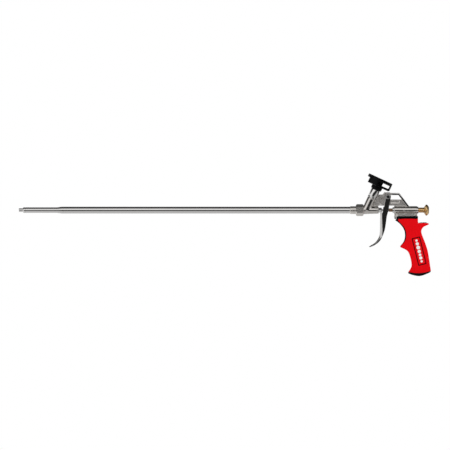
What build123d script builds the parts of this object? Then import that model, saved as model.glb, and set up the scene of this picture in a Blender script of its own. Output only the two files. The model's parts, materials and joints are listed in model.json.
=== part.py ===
"""Long-barrel foam gun: a trigger-operated applicator for screw-on foam cans.

Units are millimetres. +X runs along the barrel from the nozzle mouth to the adjusting knob, +Z is up and
the grip hangs down. The origin is the centre of the nozzle mouth, on the barrel axis.
"""

import os
from math import cos, pi, radians, sin

from build123d import *

# ---------------------------------------------------------------- driving dimensions
# Barrel
tube_r = 6.55
tube_bore_r = 5.3
nozzle_r = 5.3
nozzle_bore_r = 3.5
nose_r = 3.4
nose_length = 8.0
shoulder_end = 13.0
nozzle_cone_start = 74.0
tube_front = 86.0
tube_rear = 659.0
guide_stations = (205.0, 345.0, 485.0)

# Coupling between barrel and frame
nut_sleeve_front = 642.5
nut_hex_front = 654.0
nut_rear = 668.7
nut_across_flats = 20.0
coupling_thread_r = 7.45
frame_front = 660.0

# Needle and its gland
needle_r = 2.0
running_gap = 0.05
gland_wall_front = 682.0
gland_wall_rear = 686.0
boss_rear = 698.0
boss_front_r = 7.8
boss_rear_r = 6.8
chamber_r = 4.5

# Trigger
pivot_x = 716.2
pivot_z = 25.8
pivot_pin_r = 2.5
trigger_head_r = 5.9
trigger_half_width = 7.2
trigger_slot_half_width = 3.2
web_half_width = 2.6

# Rear housing, return spring and flow adjuster
housing_front = 728.0
housing_rear = 773.0
housing_r = 7.6
housing_bore_r = 5.6
sleeve_r = 3.2
sleeve_front = 717.6
spring_seat_front = 737.0
spring_wire_r = 0.6
bush_inner_end = 760.0
stem_r = 5.0
knob_r = 10.7
knob_front = 786.6
knob_rear = 795.8
adjuster_front = 761.0

# Can inlet: a neck leaning back from the barrel axis
neck_x = 674.0
neck_lean_deg = 25.0
neck_r = 8.4
neck_top = 25.2
stem_socket_r = 6.0
inlet_stem_r = 8.7
basket_bottom = 43.5
basket_arm_bottom = 50.8
basket_arm_top = 55.2
basket_ring_bottom = 61.0
basket_top = 67.3
basket_r = 25.2
can_thread_r = 20.5
leg_bore_r = 21.5
leg_angle = 36.0
basket_tube_r = 8.1
basket_tube_top = 60.4
valve_bore_r = 4.8
ball_r = 4.0
ball_seat_height = 48.6

# Grip
grip_x = 774.4
grip_z = -11.45
collar_height = 5.8
collar_half_width = 13.0
grip_half_width = 14.0
grip_lean_deg = 13.0
pad_thickness = 1.9
label_x = 776.6
label_z = -79.6
label_width = 16.7
label_length = 55.0
label_lean_deg = 13.9
label_recess = 1.1

# ---------------------------------------------------------------- working planes and repeated profiles
neck_lean = radians(neck_lean_deg)
neck_direction = Vector(sin(neck_lean), 0, cos(neck_lean))
neck_axis = Axis((neck_x, 0, 0), neck_direction)


def side_view(x, z):
    """Plane of the side view, with its origin at (x, z): sketch x is +X and sketch y is +Z."""
    return Plane(origin=(x, 0, z), x_dir=(1, 0, 0), z_dir=(0, -1, 0))


def across_barrel(x):
    """Plane square to the barrel at station x, facing the rear."""
    return Plane(origin=(x, 0, 0), x_dir=(0, 1, 0), z_dir=(1, 0, 0))


def across_neck(height):
    """Plane square to the neck at that height above the barrel axis, facing the can."""
    centre = Vector(neck_x, 0, 0) + neck_direction * height
    return Plane(origin=centre, x_dir=(cos(neck_lean), 0, -sin(neck_lean)), z_dir=neck_direction)


def neck_section():
    """Side-view plane whose sketch x is the radius about the neck and whose sketch y is the height up it."""
    return Plane(origin=(neck_x, 0, 0), x_dir=(cos(neck_lean), 0, -sin(neck_lean)), z_dir=(0, -1, 0))


os.makedirs("parts", exist_ok=True)


def save(name, builder):
    """Labels a finished piece and writes its STEP file."""
    builder.part.label = name
    export_step(builder.part, f"parts/{name}.step")


# ---------------------------------------------------------------- barrel, from the mouth backwards
seat_mouth_r = 1.3
seat_cone_r = 2.6
seat_cone_start = 3.0
seat_cone_end = 8.0
tip_spigot_end = 22.0
tip_spigot_r = 4.2
tip_bore_r = 3.1
shoulder_chamfer = 1.4
spanner_flat_front = nose_length + 1.8
spanner_flat_length = 2.6
spanner_flat_depth = 0.7

with BuildPart() as nozzle_tip:
    with BuildSketch(Plane.XZ):
        with BuildLine():
            Polyline(
                (0, seat_mouth_r),
                (0, nose_r),
                (nose_length, nose_r),
                (nose_length, nozzle_r),
                (shoulder_end, nozzle_r),
                (shoulder_end, tip_spigot_r),
                (tip_spigot_end, tip_spigot_r),
                (tip_spigot_end, tip_bore_r),
                (seat_cone_end + 1.5, tip_bore_r),
                (seat_cone_end, seat_cone_r),
                (seat_cone_start, seat_mouth_r),
                close=True,
            )
        make_face()
    revolve(axis=Axis.X)
    shoulder_edge = nozzle_tip.edges().filter_by(GeomType.CIRCLE).filter_by(
        lambda e: abs(e.radius - nozzle_r) < 0.01
    ).sort_by(Axis.X)[0]
    chamfer(shoulder_edge, shoulder_chamfer)
    with BuildSketch(across_barrel(spanner_flat_front)):
        with Locations((0, nozzle_r), (0, -nozzle_r)):
            Rectangle(2 * nozzle_r + 1, 2 * spanner_flat_depth)
    extrude(amount=spanner_flat_length, mode=Mode.SUBTRACT)
save("nozzle_tip", nozzle_tip)

cone_spigot_r = 5.25
cone_spigot_end = 98.0

with BuildPart() as nozzle_tube:
    with BuildSketch(Plane.XZ):
        with BuildLine():
            Polyline(
                (shoulder_end, tip_spigot_r + 0.02),
                (shoulder_end, nozzle_r),
                (nozzle_cone_start, nozzle_r),
                (tube_front - 2.5, tube_r),
                (tube_front, tube_r),
                (tube_front, cone_spigot_r),
                (cone_spigot_end, cone_spigot_r),
                (cone_spigot_end, nozzle_bore_r),
                (tip_spigot_end + 2, nozzle_bore_r),
                (tip_spigot_end + 2, tip_spigot_r + 0.02),
                close=True,
            )
        make_face()
    revolve(axis=Axis.X)
save("nozzle_tube", nozzle_tube)

tube_front_chamfer = 0.4

with BuildPart() as barrel_tube:
    with BuildSketch(across_barrel(tube_front)):
        Circle(tube_r)
        Circle(tube_bore_r, mode=Mode.SUBTRACT)
    extrude(amount=tube_rear - tube_front)
    front_rim = barrel_tube.edges().filter_by(GeomType.CIRCLE).group_by(Axis.X)[0].sort_by(SortBy.RADIUS)[-1]
    chamfer(front_rim, tube_front_chamfer)
save("barrel_tube", barrel_tube)

guide_length = 8.0
guide_lobes = 3
guide_lobe_r = 1.9
guide_lobe_centre_r = 4.9
guide_fit = 0.02

with BuildPart() as needle_guides:
    for station in guide_stations:
        with BuildSketch(across_barrel(station)):
            Circle(tube_bore_r - guide_fit)
            Circle(needle_r + running_gap, mode=Mode.SUBTRACT)
            with PolarLocations(guide_lobe_centre_r, guide_lobes, start_angle=90):
                Circle(guide_lobe_r, mode=Mode.SUBTRACT)
        extrude(amount=guide_length)
save("needle_guides", needle_guides)

# ---------------------------------------------------------------- coupling
ferrule_front = 656.1
ferrule_gap = 0.1
seal_gap = 0.15

with BuildPart() as barrel_ferrule:
    with BuildSketch(across_barrel(ferrule_front)):
        Circle(coupling_thread_r - ferrule_gap)
        Circle(tube_r, mode=Mode.SUBTRACT)
    extrude(amount=tube_rear - ferrule_front)
save("barrel_ferrule", barrel_ferrule)

with BuildPart() as barrel_seal:
    with BuildSketch(across_barrel(tube_rear)):
        Circle(coupling_thread_r - seal_gap)
        Circle(chamber_r, mode=Mode.SUBTRACT)
    extrude(amount=frame_front - tube_rear)
save("barrel_seal", barrel_seal)

sleeve_nut_r = 7.5
sleeve_nut_chamfer = 0.9
nut_corner_drop = 1.6
nut_corner_length = 2.2
nut_rear_gap = 0.2

with BuildPart() as barrel_nut:
    with BuildSketch(across_barrel(nut_sleeve_front)):
        Circle(sleeve_nut_r)
    extrude(amount=nut_hex_front - nut_sleeve_front)
    chamfer(barrel_nut.edges().filter_by(GeomType.CIRCLE).sort_by(Axis.X)[0], sleeve_nut_chamfer)
    with BuildSketch(across_barrel(nut_hex_front)):
        RegularPolygon(nut_across_flats / 2, 6, major_radius=False, rotation=30)
    extrude(amount=nut_rear - nut_hex_front)
    corner_r = nut_across_flats / 2 / cos(pi / 6)
    with BuildSketch(Plane.XZ):
        with BuildLine():
            Polyline(
                (nut_sleeve_front, 0),
                (nut_sleeve_front, corner_r - nut_corner_drop),
                (nut_hex_front, corner_r - nut_corner_drop),
                (nut_hex_front + nut_corner_length, corner_r),
                (nut_rear - nut_corner_length, corner_r),
                (nut_rear, corner_r - nut_corner_drop),
                (nut_rear, 0),
                close=True,
            )
        make_face()
    revolve(axis=Axis.X, mode=Mode.INTERSECT)
    with BuildSketch(across_barrel(nut_sleeve_front)):
        Circle(tube_r + running_gap)
    extrude(amount=ferrule_front - nut_sleeve_front, mode=Mode.SUBTRACT)
    with BuildSketch(across_barrel(ferrule_front)):
        Circle(coupling_thread_r + running_gap)
    extrude(amount=nut_rear - ferrule_front, mode=Mode.SUBTRACT)
save("barrel_nut", barrel_nut)

# ---------------------------------------------------------------- cast gun frame
ear_left = -10.7
ear_right = 4.9
bridge_top = 7.6
bridge_bottom = 3.3
bridge_corner = 22.0
diagonal_foot = 41.4
web_foot = -17.1
web_top = 4.5
rib_half_width = 4.2
base_front = 730.8
base_rear = 772.1
base_half_width = 8.6
flange_height = 3.2
lip_front = 727.9
lip_bottom = -17.3
tang_length = 78.0
tang_half_width = 4.5
tang_lean = radians(grip_lean_deg)
tang_direction = Vector(sin(tang_lean), 0, -cos(tang_lean))
tang_centre_x = 752.5
tang_top_width = 20.0
tang_end_width = 13.0
tang_corner_r = 2.5
bolt_r = 3.0
bolt_thread_depth = 24.0
ring_front = 747.4
ring_length = 2.2
ring_height = 0.4
stem_clearance = 0.3
lip_half_width = 6.5
flange_corner_r = 6.0
flange_overhang = 0.8
panel_depth = 0.7
panel_corner_r = 1.2
bridge_panel_centre = (14.0, -9.6)
bridge_panel_length = 17.0
bridge_panel_height = 5.2
neck_panel = ((-34.0, -18.5), (-27.5, -9.0), (-18.0, -11.2), (-12.5, -14.6), (-19.5, -18.5))
stem_socket_bottom = 15.0
housing_wall = 5.0
housing_mouth_r = 4.6
screw_fit = 0.01

tang_plane = Plane(
    origin=(tang_centre_x, 0, grip_z + 1.0),
    x_dir=(cos(tang_lean), 0, sin(tang_lean)),
    z_dir=tang_direction,
)

with BuildPart() as tang:
    with BuildSketch(tang_plane):
        RectangleRounded(tang_top_width, 2 * tang_half_width, tang_corner_r)
    with BuildSketch(tang_plane.offset(tang_length)):
        RectangleRounded(tang_end_width, 2 * tang_half_width, tang_corner_r)
    loft()

with BuildPart() as gun_frame:
    # barrel boss with its threaded spigot
    with BuildSketch(Plane.XZ):
        with BuildLine():
            Polyline(
                (frame_front, 0),
                (frame_front, coupling_thread_r),
                (nut_rear + nut_rear_gap, coupling_thread_r),
                (nut_rear + nut_rear_gap, boss_front_r),
                (boss_rear, boss_rear_r),
                (boss_rear, 0),
                close=True,
            )
        make_face()
    revolve(axis=Axis.X)
    # leaning neck
    with BuildSketch(across_neck(0)):
        Circle(neck_r)
    extrude(amount=neck_top)
    # clear ring for the rear face of the nut
    with BuildSketch(across_barrel(frame_front)):
        Circle(nut_across_flats)
        Circle(coupling_thread_r, mode=Mode.SUBTRACT)
    extrude(amount=nut_rear + nut_rear_gap - frame_front, mode=Mode.SUBTRACT)
    # spring housing with a raised ring
    with BuildSketch(across_barrel(housing_front)):
        Circle(housing_r)
    extrude(amount=housing_rear - housing_front)
    with BuildSketch(across_barrel(ring_front)):
        Circle(housing_r + ring_height)
    extrude(amount=ring_length)
    # web that carries the trigger pivot and joins neck, bridge and housing
    with BuildSketch(side_view(pivot_x, pivot_z)):
        with BuildLine():
            Polyline(
                (neck_x - pivot_x, -pivot_z),
                (boss_rear - pivot_x - 1.0, -pivot_z),
                (boss_rear - pivot_x - 1.0, web_foot),
                (housing_front - pivot_x + 0.5, web_foot),
                (housing_front - pivot_x + 0.5, -pivot_z),
                (diagonal_foot, -pivot_z),
                (diagonal_foot, housing_r - pivot_z - 0.5),
                (bridge_corner, bridge_top),
                (ear_right, bridge_top),
                (ear_right - 1.2, bridge_top + 1.1),
                (ear_left + 3.0, bridge_top + 1.1),
                (ear_left + 0.6, web_top),
                (neck_x - pivot_x + 24.0, web_top),
                close=True,
            )
        make_face()
        with BuildLine():
            Polyline(
                (ear_right, bridge_bottom),
                (bridge_corner - 1.8, bridge_bottom),
                (27.6, -5.2),
                (ear_right, -5.2),
                close=True,
            )
        make_face(mode=Mode.SUBTRACT)
    extrude(amount=web_half_width, both=True)
    # wider rails: the bridge, its slope, and the brace from neck to pivot ear
    with BuildSketch(side_view(pivot_x, pivot_z)):
        with BuildLine():
            Polyline(
                (ear_right + 3.0, bridge_top),
                (bridge_corner, bridge_top),
                (diagonal_foot, housing_r - pivot_z - 0.5),
                (diagonal_foot - 4.6, housing_r - pivot_z - 0.5),
                (bridge_corner - 1.8, bridge_bottom),
                (ear_right + 3.0, bridge_bottom),
                close=True,
            )
        make_face()
        with BuildLine():
            Polyline(
                (-20.0, web_top),
                (-11.0, web_top),
                (-9.4, -1.0),
                (-17.0, -8.6),
                (-26.5, -6.0),
                close=True,
            )
        make_face()
    extrude(amount=rib_half_width, both=True)
    # clearance for the inlet stem above the neck
    with BuildSketch(across_neck(neck_top)):
        Circle(inlet_stem_r + stem_clearance)
    extrude(amount=neck_top, mode=Mode.SUBTRACT)
    # foot of the housing, flange and front lip
    with BuildSketch(side_view(0, 0)):
        with BuildLine():
            Polyline(
                (base_front, 0),
                (base_rear, 0),
                (base_rear, grip_z),
                (base_front, grip_z),
                close=True,
            )
        make_face()
    extrude(amount=base_half_width, both=True)
    with BuildSketch(Plane.XY.offset(grip_z)):
        flange_length = base_rear + flange_overhang - base_front
        with Locations((base_front + flange_length / 2, 0)):
            RectangleRounded(flange_length, 2 * (collar_half_width - 1.0), flange_corner_r)
    extrude(amount=flange_height)
    with BuildSketch(side_view(0, 0)):
        with BuildLine():
            Polyline(
                (lip_front + 0.8, grip_z + flange_height),
                (base_front + 4.0, grip_z + flange_height),
                (base_front + 4.0, grip_z),
                (lip_front + 4.4, grip_z),
                (lip_front + 4.4, lip_bottom),
                (lip_front + 0.6, lip_bottom),
                (lip_front, grip_z - 1.0),
                close=True,
            )
        make_face()
    extrude(amount=lip_half_width, both=True)
    # tang inside the grip
    add(tang)
    # shallow panels in the web, both sides
    for facing in (1, -1):
        with BuildSketch(side_view(pivot_x, pivot_z).offset(facing * web_half_width)):
            with Locations(bridge_panel_centre):
                RectangleRounded(bridge_panel_length, bridge_panel_height, panel_corner_r)
            with BuildLine():
                Polyline(*neck_panel, close=True)
            make_face()
        extrude(amount=-facing * panel_depth, mode=Mode.SUBTRACT)
    # foam chamber, gland bore and needle passage
    with BuildSketch(Plane.XZ):
        with BuildLine():
            Polyline(
                (frame_front, 0),
                (frame_front, chamber_r),
                (gland_wall_front - 2.0, chamber_r),
                (gland_wall_front, needle_r + 0.4),
                (gland_wall_rear, needle_r + 0.4),
                (gland_wall_rear, chamber_r),
                (boss_rear + 1, chamber_r),
                (boss_rear + 1, 0),
                close=True,
            )
        make_face()
    revolve(axis=Axis.X, mode=Mode.SUBTRACT)
    # neck bore and stem socket
    with BuildSketch(across_neck(0)):
        Circle(nozzle_bore_r)
    extrude(amount=neck_top, mode=Mode.SUBTRACT)
    with BuildSketch(across_neck(stem_socket_bottom)):
        Circle(stem_socket_r)
    extrude(amount=neck_top - stem_socket_bottom, mode=Mode.SUBTRACT)
    # spring housing bore and its front wall
    with BuildSketch(across_barrel(housing_front + housing_wall)):
        Circle(housing_bore_r)
    extrude(amount=housing_rear - housing_front - housing_wall, mode=Mode.SUBTRACT)
    with BuildSketch(across_barrel(housing_front - 1)):
        Circle(housing_mouth_r)
    extrude(amount=housing_wall + 2, mode=Mode.SUBTRACT)
    # pivot hole
    with BuildSketch(side_view(pivot_x, pivot_z)):
        Circle(pivot_pin_r + screw_fit)
    extrude(amount=rib_half_width + 1, both=True, mode=Mode.SUBTRACT)
    # threaded hole for the grip bolt
    with BuildSketch(tang_plane.offset(tang_length)):
        Circle(bolt_r)
    extrude(amount=-bolt_thread_depth, mode=Mode.SUBTRACT)
save("gun_frame", gun_frame)

# ---------------------------------------------------------------- gland
packing_rings = 3
packing_length = 2.4

with BuildPart() as gland_packing:
    for ring in range(packing_rings):
        with BuildSketch(across_barrel(gland_wall_rear + ring * (packing_length + running_gap))):
            Circle(chamber_r - running_gap)
            Circle(needle_r + 0.02, mode=Mode.SUBTRACT)
        extrude(amount=packing_length)
save("gland_packing", gland_packing)

gland_nut_front = gland_wall_rear + packing_rings * (packing_length + running_gap)
gland_head_end = 704.2
gland_nut_flats_r = 4.7
gland_nut_chamfer = 0.6

with BuildPart() as gland_nut:
    with BuildSketch(across_barrel(gland_nut_front)):
        Circle(chamber_r - running_gap)
    extrude(amount=boss_rear - gland_nut_front)
    with BuildSketch(across_barrel(boss_rear)):
        RegularPolygon(gland_nut_flats_r, 6, major_radius=False)
    extrude(amount=gland_head_end - boss_rear)
    with BuildSketch(across_barrel(gland_nut_front)):
        Circle(needle_r + 0.25)
    extrude(amount=gland_head_end - gland_nut_front, mode=Mode.SUBTRACT)
    chamfer(gland_nut.faces().sort_by(Axis.X)[-1].outer_wire().edges(), gland_nut_chamfer)
save("gland_nut", gland_nut)

# ---------------------------------------------------------------- needle train
needle_rod_front = 20.0
needle_rod_rear = 742.8
needle_tip_r = 2.5

with BuildPart() as needle_tip:
    with BuildSketch(Plane.XZ):
        with BuildLine():
            Polyline(
                (seat_cone_start + 0.4, 0),
                (seat_cone_start + 0.4, seat_mouth_r - 0.02),
                (seat_cone_end, seat_cone_r - 0.16),
                (seat_cone_end + 1.2, needle_tip_r),
                (needle_rod_front + 8, needle_tip_r),
                (needle_rod_front + 10, needle_r),
                (needle_rod_front, needle_r),
                (needle_rod_front, 0),
                close=True,
            )
        make_face()
    revolve(axis=Axis.X)
save("needle_tip", needle_tip)

with BuildPart() as needle_rod:
    with BuildSketch(across_barrel(needle_rod_front)):
        Circle(needle_r)
    extrude(amount=needle_rod_rear - needle_rod_front)
    chamfer(needle_rod.edges().sort_by(Axis.X)[-1], 0.5)
save("needle_rod", needle_rod)

with BuildPart() as needle_sleeve:
    with BuildSketch(across_barrel(sleeve_front)):
        Circle(sleeve_r)
        Circle(needle_r, mode=Mode.SUBTRACT)
    extrude(amount=spring_seat_front - sleeve_front)
    chamfer(needle_sleeve.edges().group_by(Axis.X)[0].sort_by(SortBy.RADIUS)[-1], 0.4)
save("needle_sleeve", needle_sleeve)

spring_seat_rear = spring_seat_front + 2.0

with BuildPart() as spring_seat:
    with BuildSketch(across_barrel(spring_seat_front)):
        Circle(housing_bore_r - 0.2)
        Circle(needle_r, mode=Mode.SUBTRACT)
    extrude(amount=spring_seat_rear - spring_seat_front)
save("spring_seat", spring_seat)

seat_nut_end = spring_seat_rear + 3.2
seat_nut_flats_r = 3.4

with BuildPart() as spring_seat_nut:
    with BuildSketch(across_barrel(spring_seat_rear)):
        RegularPolygon(seat_nut_flats_r, 6, major_radius=False)
        Circle(needle_r, mode=Mode.SUBTRACT)
    extrude(amount=seat_nut_end - spring_seat_rear)
save("spring_seat_nut", spring_seat_nut)

spring_mean_r = 4.7
spring_turns = 7
spring_gap = 0.05
spring_start = spring_seat_rear + spring_wire_r + spring_gap
spring_height = bush_inner_end - spring_wire_r - spring_gap - spring_start

with BuildPart() as return_spring:
    with BuildLine() as return_coil:
        Helix(
            pitch=spring_height / spring_turns,
            height=spring_height,
            radius=spring_mean_r,
            center=(spring_start, 0, 0),
            direction=(1, 0, 0),
        )
    with BuildSketch(Plane(origin=return_coil.line @ 0, z_dir=return_coil.line % 0)):
        Circle(spring_wire_r)
    sweep(path=return_coil.line, is_frenet=True)
save("return_spring", return_spring)

with BuildPart() as guide_bush:
    with BuildSketch(Plane.XZ):
        with BuildLine():
            Polyline(
                (housing_front - 3.0, sleeve_r + running_gap),
                (housing_front - 3.0, 5.0),
                (housing_front - 2.3, 5.7),
                (housing_front, 5.7),
                (housing_front, 4.55),
                (housing_front + 5.0, 4.55),
                (housing_front + 5.0, sleeve_r + running_gap),
                close=True,
            )
        make_face()
    revolve(axis=Axis.X)
save("guide_bush", guide_bush)

# ---------------------------------------------------------------- flow adjuster
bush_flange_end = housing_rear + 2.2

with BuildPart() as rear_bush:
    with BuildSketch(Plane.XZ):
        with BuildLine():
            Polyline(
                (bush_inner_end, 4.0),
                (bush_inner_end, housing_bore_r - 0.03),
                (housing_rear, housing_bore_r - 0.03),
                (housing_rear, 6.6),
                (bush_flange_end - 0.5, 6.6),
                (bush_flange_end, 6.1),
                (bush_flange_end, stem_r + running_gap),
                (bush_inner_end + 1.2, stem_r + running_gap),
                (bush_inner_end + 1.2, 4.0),
                close=True,
            )
        make_face()
    revolve(axis=Axis.X)
save("rear_bush", rear_bush)

stem_front = 769.5
pin_r = 3.6
knob_dome_rise = 4.2
knob_flat_r = 4.6

with BuildPart() as adjusting_screw:
    with BuildSketch(Plane.XZ):
        with BuildLine():
            Polyline(
                (knob_rear, 0),
                (adjuster_front + 3.4, 0),
                (adjuster_front + 3.4, 1.45),
                (adjuster_front + 0.6, 1.45),
                (adjuster_front + 0.6, 1.9),
                (adjuster_front, 1.9),
                (adjuster_front, pin_r),
                (stem_front, pin_r),
                (stem_front, stem_r - 0.5),
                (stem_front + 0.5, stem_r),
                (knob_front - 1.6, stem_r),
                (knob_front + 0.8, knob_r - 3.2),
                (knob_front + 2.4, knob_r - 1.0),
                (knob_front + 3.2, knob_r),
                (knob_rear - knob_dome_rise, knob_r),
            )
            ThreePointArc(
                (knob_rear - knob_dome_rise, knob_r),
                (knob_rear - 1.1, knob_r - 2.6),
                (knob_rear, knob_flat_r),
            )
            Line((knob_rear, knob_flat_r), (knob_rear, 0))
        make_face()
    revolve(axis=Axis.X)
save("adjusting_screw", adjusting_screw)

pad_front = adjuster_front - 2.4

with BuildPart() as stop_pad:
    with BuildSketch(Plane.XZ):
        with BuildLine():
            Polyline(
                (pad_front, 0),
                (pad_front, 2.6),
                (pad_front + 0.6, 3.2),
                (adjuster_front - 0.06, 3.2),
                (adjuster_front - 0.06, 1.35),
                (adjuster_front + 3.2, 1.35),
                (adjuster_front + 3.2, 0),
                close=True,
            )
        make_face()
    revolve(axis=Axis.X)
save("stop_pad", stop_pad)

# ---------------------------------------------------------------- trigger
blade_front = ((-15.0, -31.2), (-15.4, -46.0), (-15.6, -64.0), (-17.4, -77.4), (-24.6, -88.4), (-35.6, -95.6))
blade_tip = ((-35.6, -95.6), (-37.0, -97.0), (-35.2, -97.8))
blade_rear = (
    (-35.2, -97.8),
    (-23.4, -92.4),
    (-13.6, -81.6),
    (-7.2, -67.6),
    (-4.3, -53.6),
    (-2.2, -38.0),
    (0.6, -27.4),
)
front_step = ((-11.4, -34.0), (-9.0, -18.0), (-24.0, -18.0), (-24.0, -31.2), (-11.4, -31.2))
cheek_slot = ((-30, 12), (12, 12), (12, -19.6), (-4.6, -19.6), (-4.6, -31.0), (-30, -31.0))
needle_slot = ((-12, -15), (12, -15), (12, -29.6), (-12, -29.6))
needle_slot_gap = 0.3
pocket_front = ((-10.9, -34.4), (-7.7, -45.0), (-6.3, -55.0), (-7.4, -64.0), (-10.2, -68.0))
pocket_middle = (-11.3, -58.0)
pocket_depth = 4.4
contact_r = 7.0
contact_gap = 0.15
contact_x = sleeve_front - contact_gap - contact_r - pivot_x

with BuildPart() as trigger:
    # side outline: round head, straight lever, curved finger blade
    with BuildSketch(side_view(pivot_x, pivot_z)):
        with BuildLine():
            Spline(*blade_front)
            ThreePointArc(*blade_tip)
            Spline(*blade_rear)
            Polyline(
                blade_rear[-1],
                (3.4, -12.0),
                (trigger_head_r - 0.6, -2.4),
                (0, 0),
                (1.2 - trigger_head_r, -2.6),
                (-7.2, -17.0),
                (-9.0, -26.0),
                (-11.4, -30.2),
                blade_front[0],
            )
        make_face()
        Circle(trigger_head_r)
        with Locations((contact_x, -pivot_z)):
            Circle(contact_r)
        with BuildLine():
            Polyline(*front_step, close=True)
        make_face(mode=Mode.SUBTRACT)
    extrude(amount=trigger_half_width, both=True)
    # slot that clears the frame web, closed at the bottom by the saddle behind the gland
    with BuildSketch(side_view(pivot_x, pivot_z)):
        with BuildLine():
            Polyline(*cheek_slot, close=True)
        make_face()
    extrude(amount=trigger_slot_half_width, both=True, mode=Mode.SUBTRACT)
    # open slot in the saddle for the needle
    with BuildSketch(side_view(pivot_x, pivot_z)):
        with BuildLine():
            Polyline(*needle_slot, close=True)
        make_face()
    extrude(amount=needle_r + needle_slot_gap, both=True, mode=Mode.SUBTRACT)
    # side pockets between the finger rail and the back rib
    for facing in (1, -1):
        with BuildSketch(side_view(pivot_x, pivot_z).offset(facing * trigger_half_width)):
            with BuildLine():
                Spline(*pocket_front)
                Polyline(pocket_front[-1], pocket_middle, pocket_front[0])
            make_face()
        extrude(amount=-facing * pocket_depth, mode=Mode.SUBTRACT)
    with BuildSketch(side_view(pivot_x, pivot_z)):
        Circle(pivot_pin_r + running_gap)
    extrude(amount=trigger_half_width + 1, both=True, mode=Mode.SUBTRACT)
save("trigger", trigger)

screw_head_r = 4.3
screw_head_height = 2.4
screw_head_round = 0.9
screw_end = 3.2
cross_slot_width = 1.1
cross_slot_length = 5.6
cross_slot_depth = 1.4
pivot_nut_flats_r = 4.0
pivot_nut_length = 3.0
side_gap = 0.15
screw_seat = trigger_half_width + side_gap

with BuildPart() as trigger_screw:
    with BuildSketch(side_view(pivot_x, pivot_z).offset(screw_seat)):
        Circle(screw_head_r)
    extrude(amount=screw_head_height)
    fillet(trigger_screw.edges().sort_by(Axis.Y)[0], screw_head_round)
    with BuildSketch(side_view(pivot_x, pivot_z).offset(screw_seat)):
        Circle(pivot_pin_r)
    extrude(amount=-2 * screw_seat - screw_end)
    with BuildSketch(side_view(pivot_x, pivot_z).offset(screw_seat + screw_head_height)):
        Rectangle(cross_slot_width, cross_slot_length)
        Rectangle(cross_slot_length, cross_slot_width)
    extrude(amount=-cross_slot_depth, mode=Mode.SUBTRACT)
save("trigger_screw", trigger_screw)

with BuildPart() as trigger_screw_nut:
    with BuildSketch(side_view(pivot_x, pivot_z).offset(-screw_seat)):
        RegularPolygon(pivot_nut_flats_r, 6, major_radius=False)
        Circle(pivot_pin_r, mode=Mode.SUBTRACT)
    extrude(amount=-pivot_nut_length)
save("trigger_screw_nut", trigger_screw_nut)

# ---------------------------------------------------------------- can inlet
stem_spigot_bottom = 16.0
stem_bore_r = 3.0
spring_ledge = 30.0
stem_top = 57.0
stem_thread_r = 7.0
seat_ring_bottom = 52.6

with BuildPart() as stem_washer:
    with BuildSketch(across_neck(stem_socket_bottom)):
        Circle(stem_socket_r - running_gap)
        Circle(stem_bore_r, mode=Mode.SUBTRACT)
    extrude(amount=stem_spigot_bottom - stem_socket_bottom)
save("stem_washer", stem_washer)

with BuildPart() as inlet_stem:
    with BuildSketch(neck_section()):
        with BuildLine():
            Polyline(
                (stem_bore_r, stem_spigot_bottom),
                (stem_socket_r - 0.04, stem_spigot_bottom),
                (stem_socket_r - 0.04, neck_top),
                (inlet_stem_r - 0.5, neck_top),
                (inlet_stem_r, neck_top + 0.5),
                (inlet_stem_r, basket_bottom - 1.0),
                (inlet_stem_r - 1.0, basket_bottom),
                (stem_thread_r, basket_bottom),
                (stem_thread_r, stem_top),
                (valve_bore_r, stem_top),
                (valve_bore_r, spring_ledge),
                (stem_bore_r, spring_ledge),
                close=True,
            )
        make_face()
    revolve(axis=neck_axis)
save("inlet_stem", inlet_stem)

inlet_spring_wire_r = 0.45
inlet_spring_mean_r = 3.3
inlet_spring_turns = 6
ball_contact_height = ball_seat_height - (ball_r**2 - inlet_spring_mean_r**2) ** 0.5
inlet_spring_bottom = spring_ledge + inlet_spring_wire_r + running_gap
inlet_spring_height = ball_contact_height - inlet_spring_wire_r - 0.35 - inlet_spring_bottom

with BuildPart() as inlet_spring:
    with BuildLine() as inlet_coil:
        Helix(
            pitch=inlet_spring_height / inlet_spring_turns,
            height=inlet_spring_height,
            radius=inlet_spring_mean_r,
            center=across_neck(inlet_spring_bottom).origin,
            direction=neck_direction,
        )
    with BuildSketch(Plane(origin=inlet_coil.line @ 0, z_dir=inlet_coil.line % 0)):
        Circle(inlet_spring_wire_r)
    sweep(path=inlet_coil.line, is_frenet=True)
save("inlet_spring", inlet_spring)

with BuildPart() as inlet_ball:
    with Locations(across_neck(ball_seat_height)):
        Sphere(ball_r)
save("inlet_ball", inlet_ball)

seat_ring_hole_r = 2.6
seat_ring_room = 0.4
seat_ring_fit = 0.03
seat_skirt = 1.6
seat_skirt_bore_r = 3.9
seat_hole_step = 0.2
ball_gap = 0.04

with BuildPart() as valve_seat:
    with BuildSketch(neck_section()):
        with BuildLine():
            Polyline(
                (seat_skirt_bore_r, seat_ring_bottom - seat_skirt),
                (valve_bore_r - seat_ring_fit, seat_ring_bottom - seat_skirt),
                (valve_bore_r - seat_ring_fit, stem_top + seat_ring_room),
                (seat_ring_hole_r, stem_top + seat_ring_room),
                (seat_ring_hole_r, seat_ring_bottom - seat_hole_step),
                close=True,
            )
        make_face()
    revolve(axis=neck_axis)
    with Locations(across_neck(ball_seat_height)):
        Sphere(ball_r + ball_gap, mode=Mode.SUBTRACT)
save("valve_seat", valve_seat)

hub_r = 10.8
hub_round = 2.6
leg_shoulder_round = 2.8
ring_top_chamfer = 0.8
valve_mouth_r = 4.2
same_radius = 0.01

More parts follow.
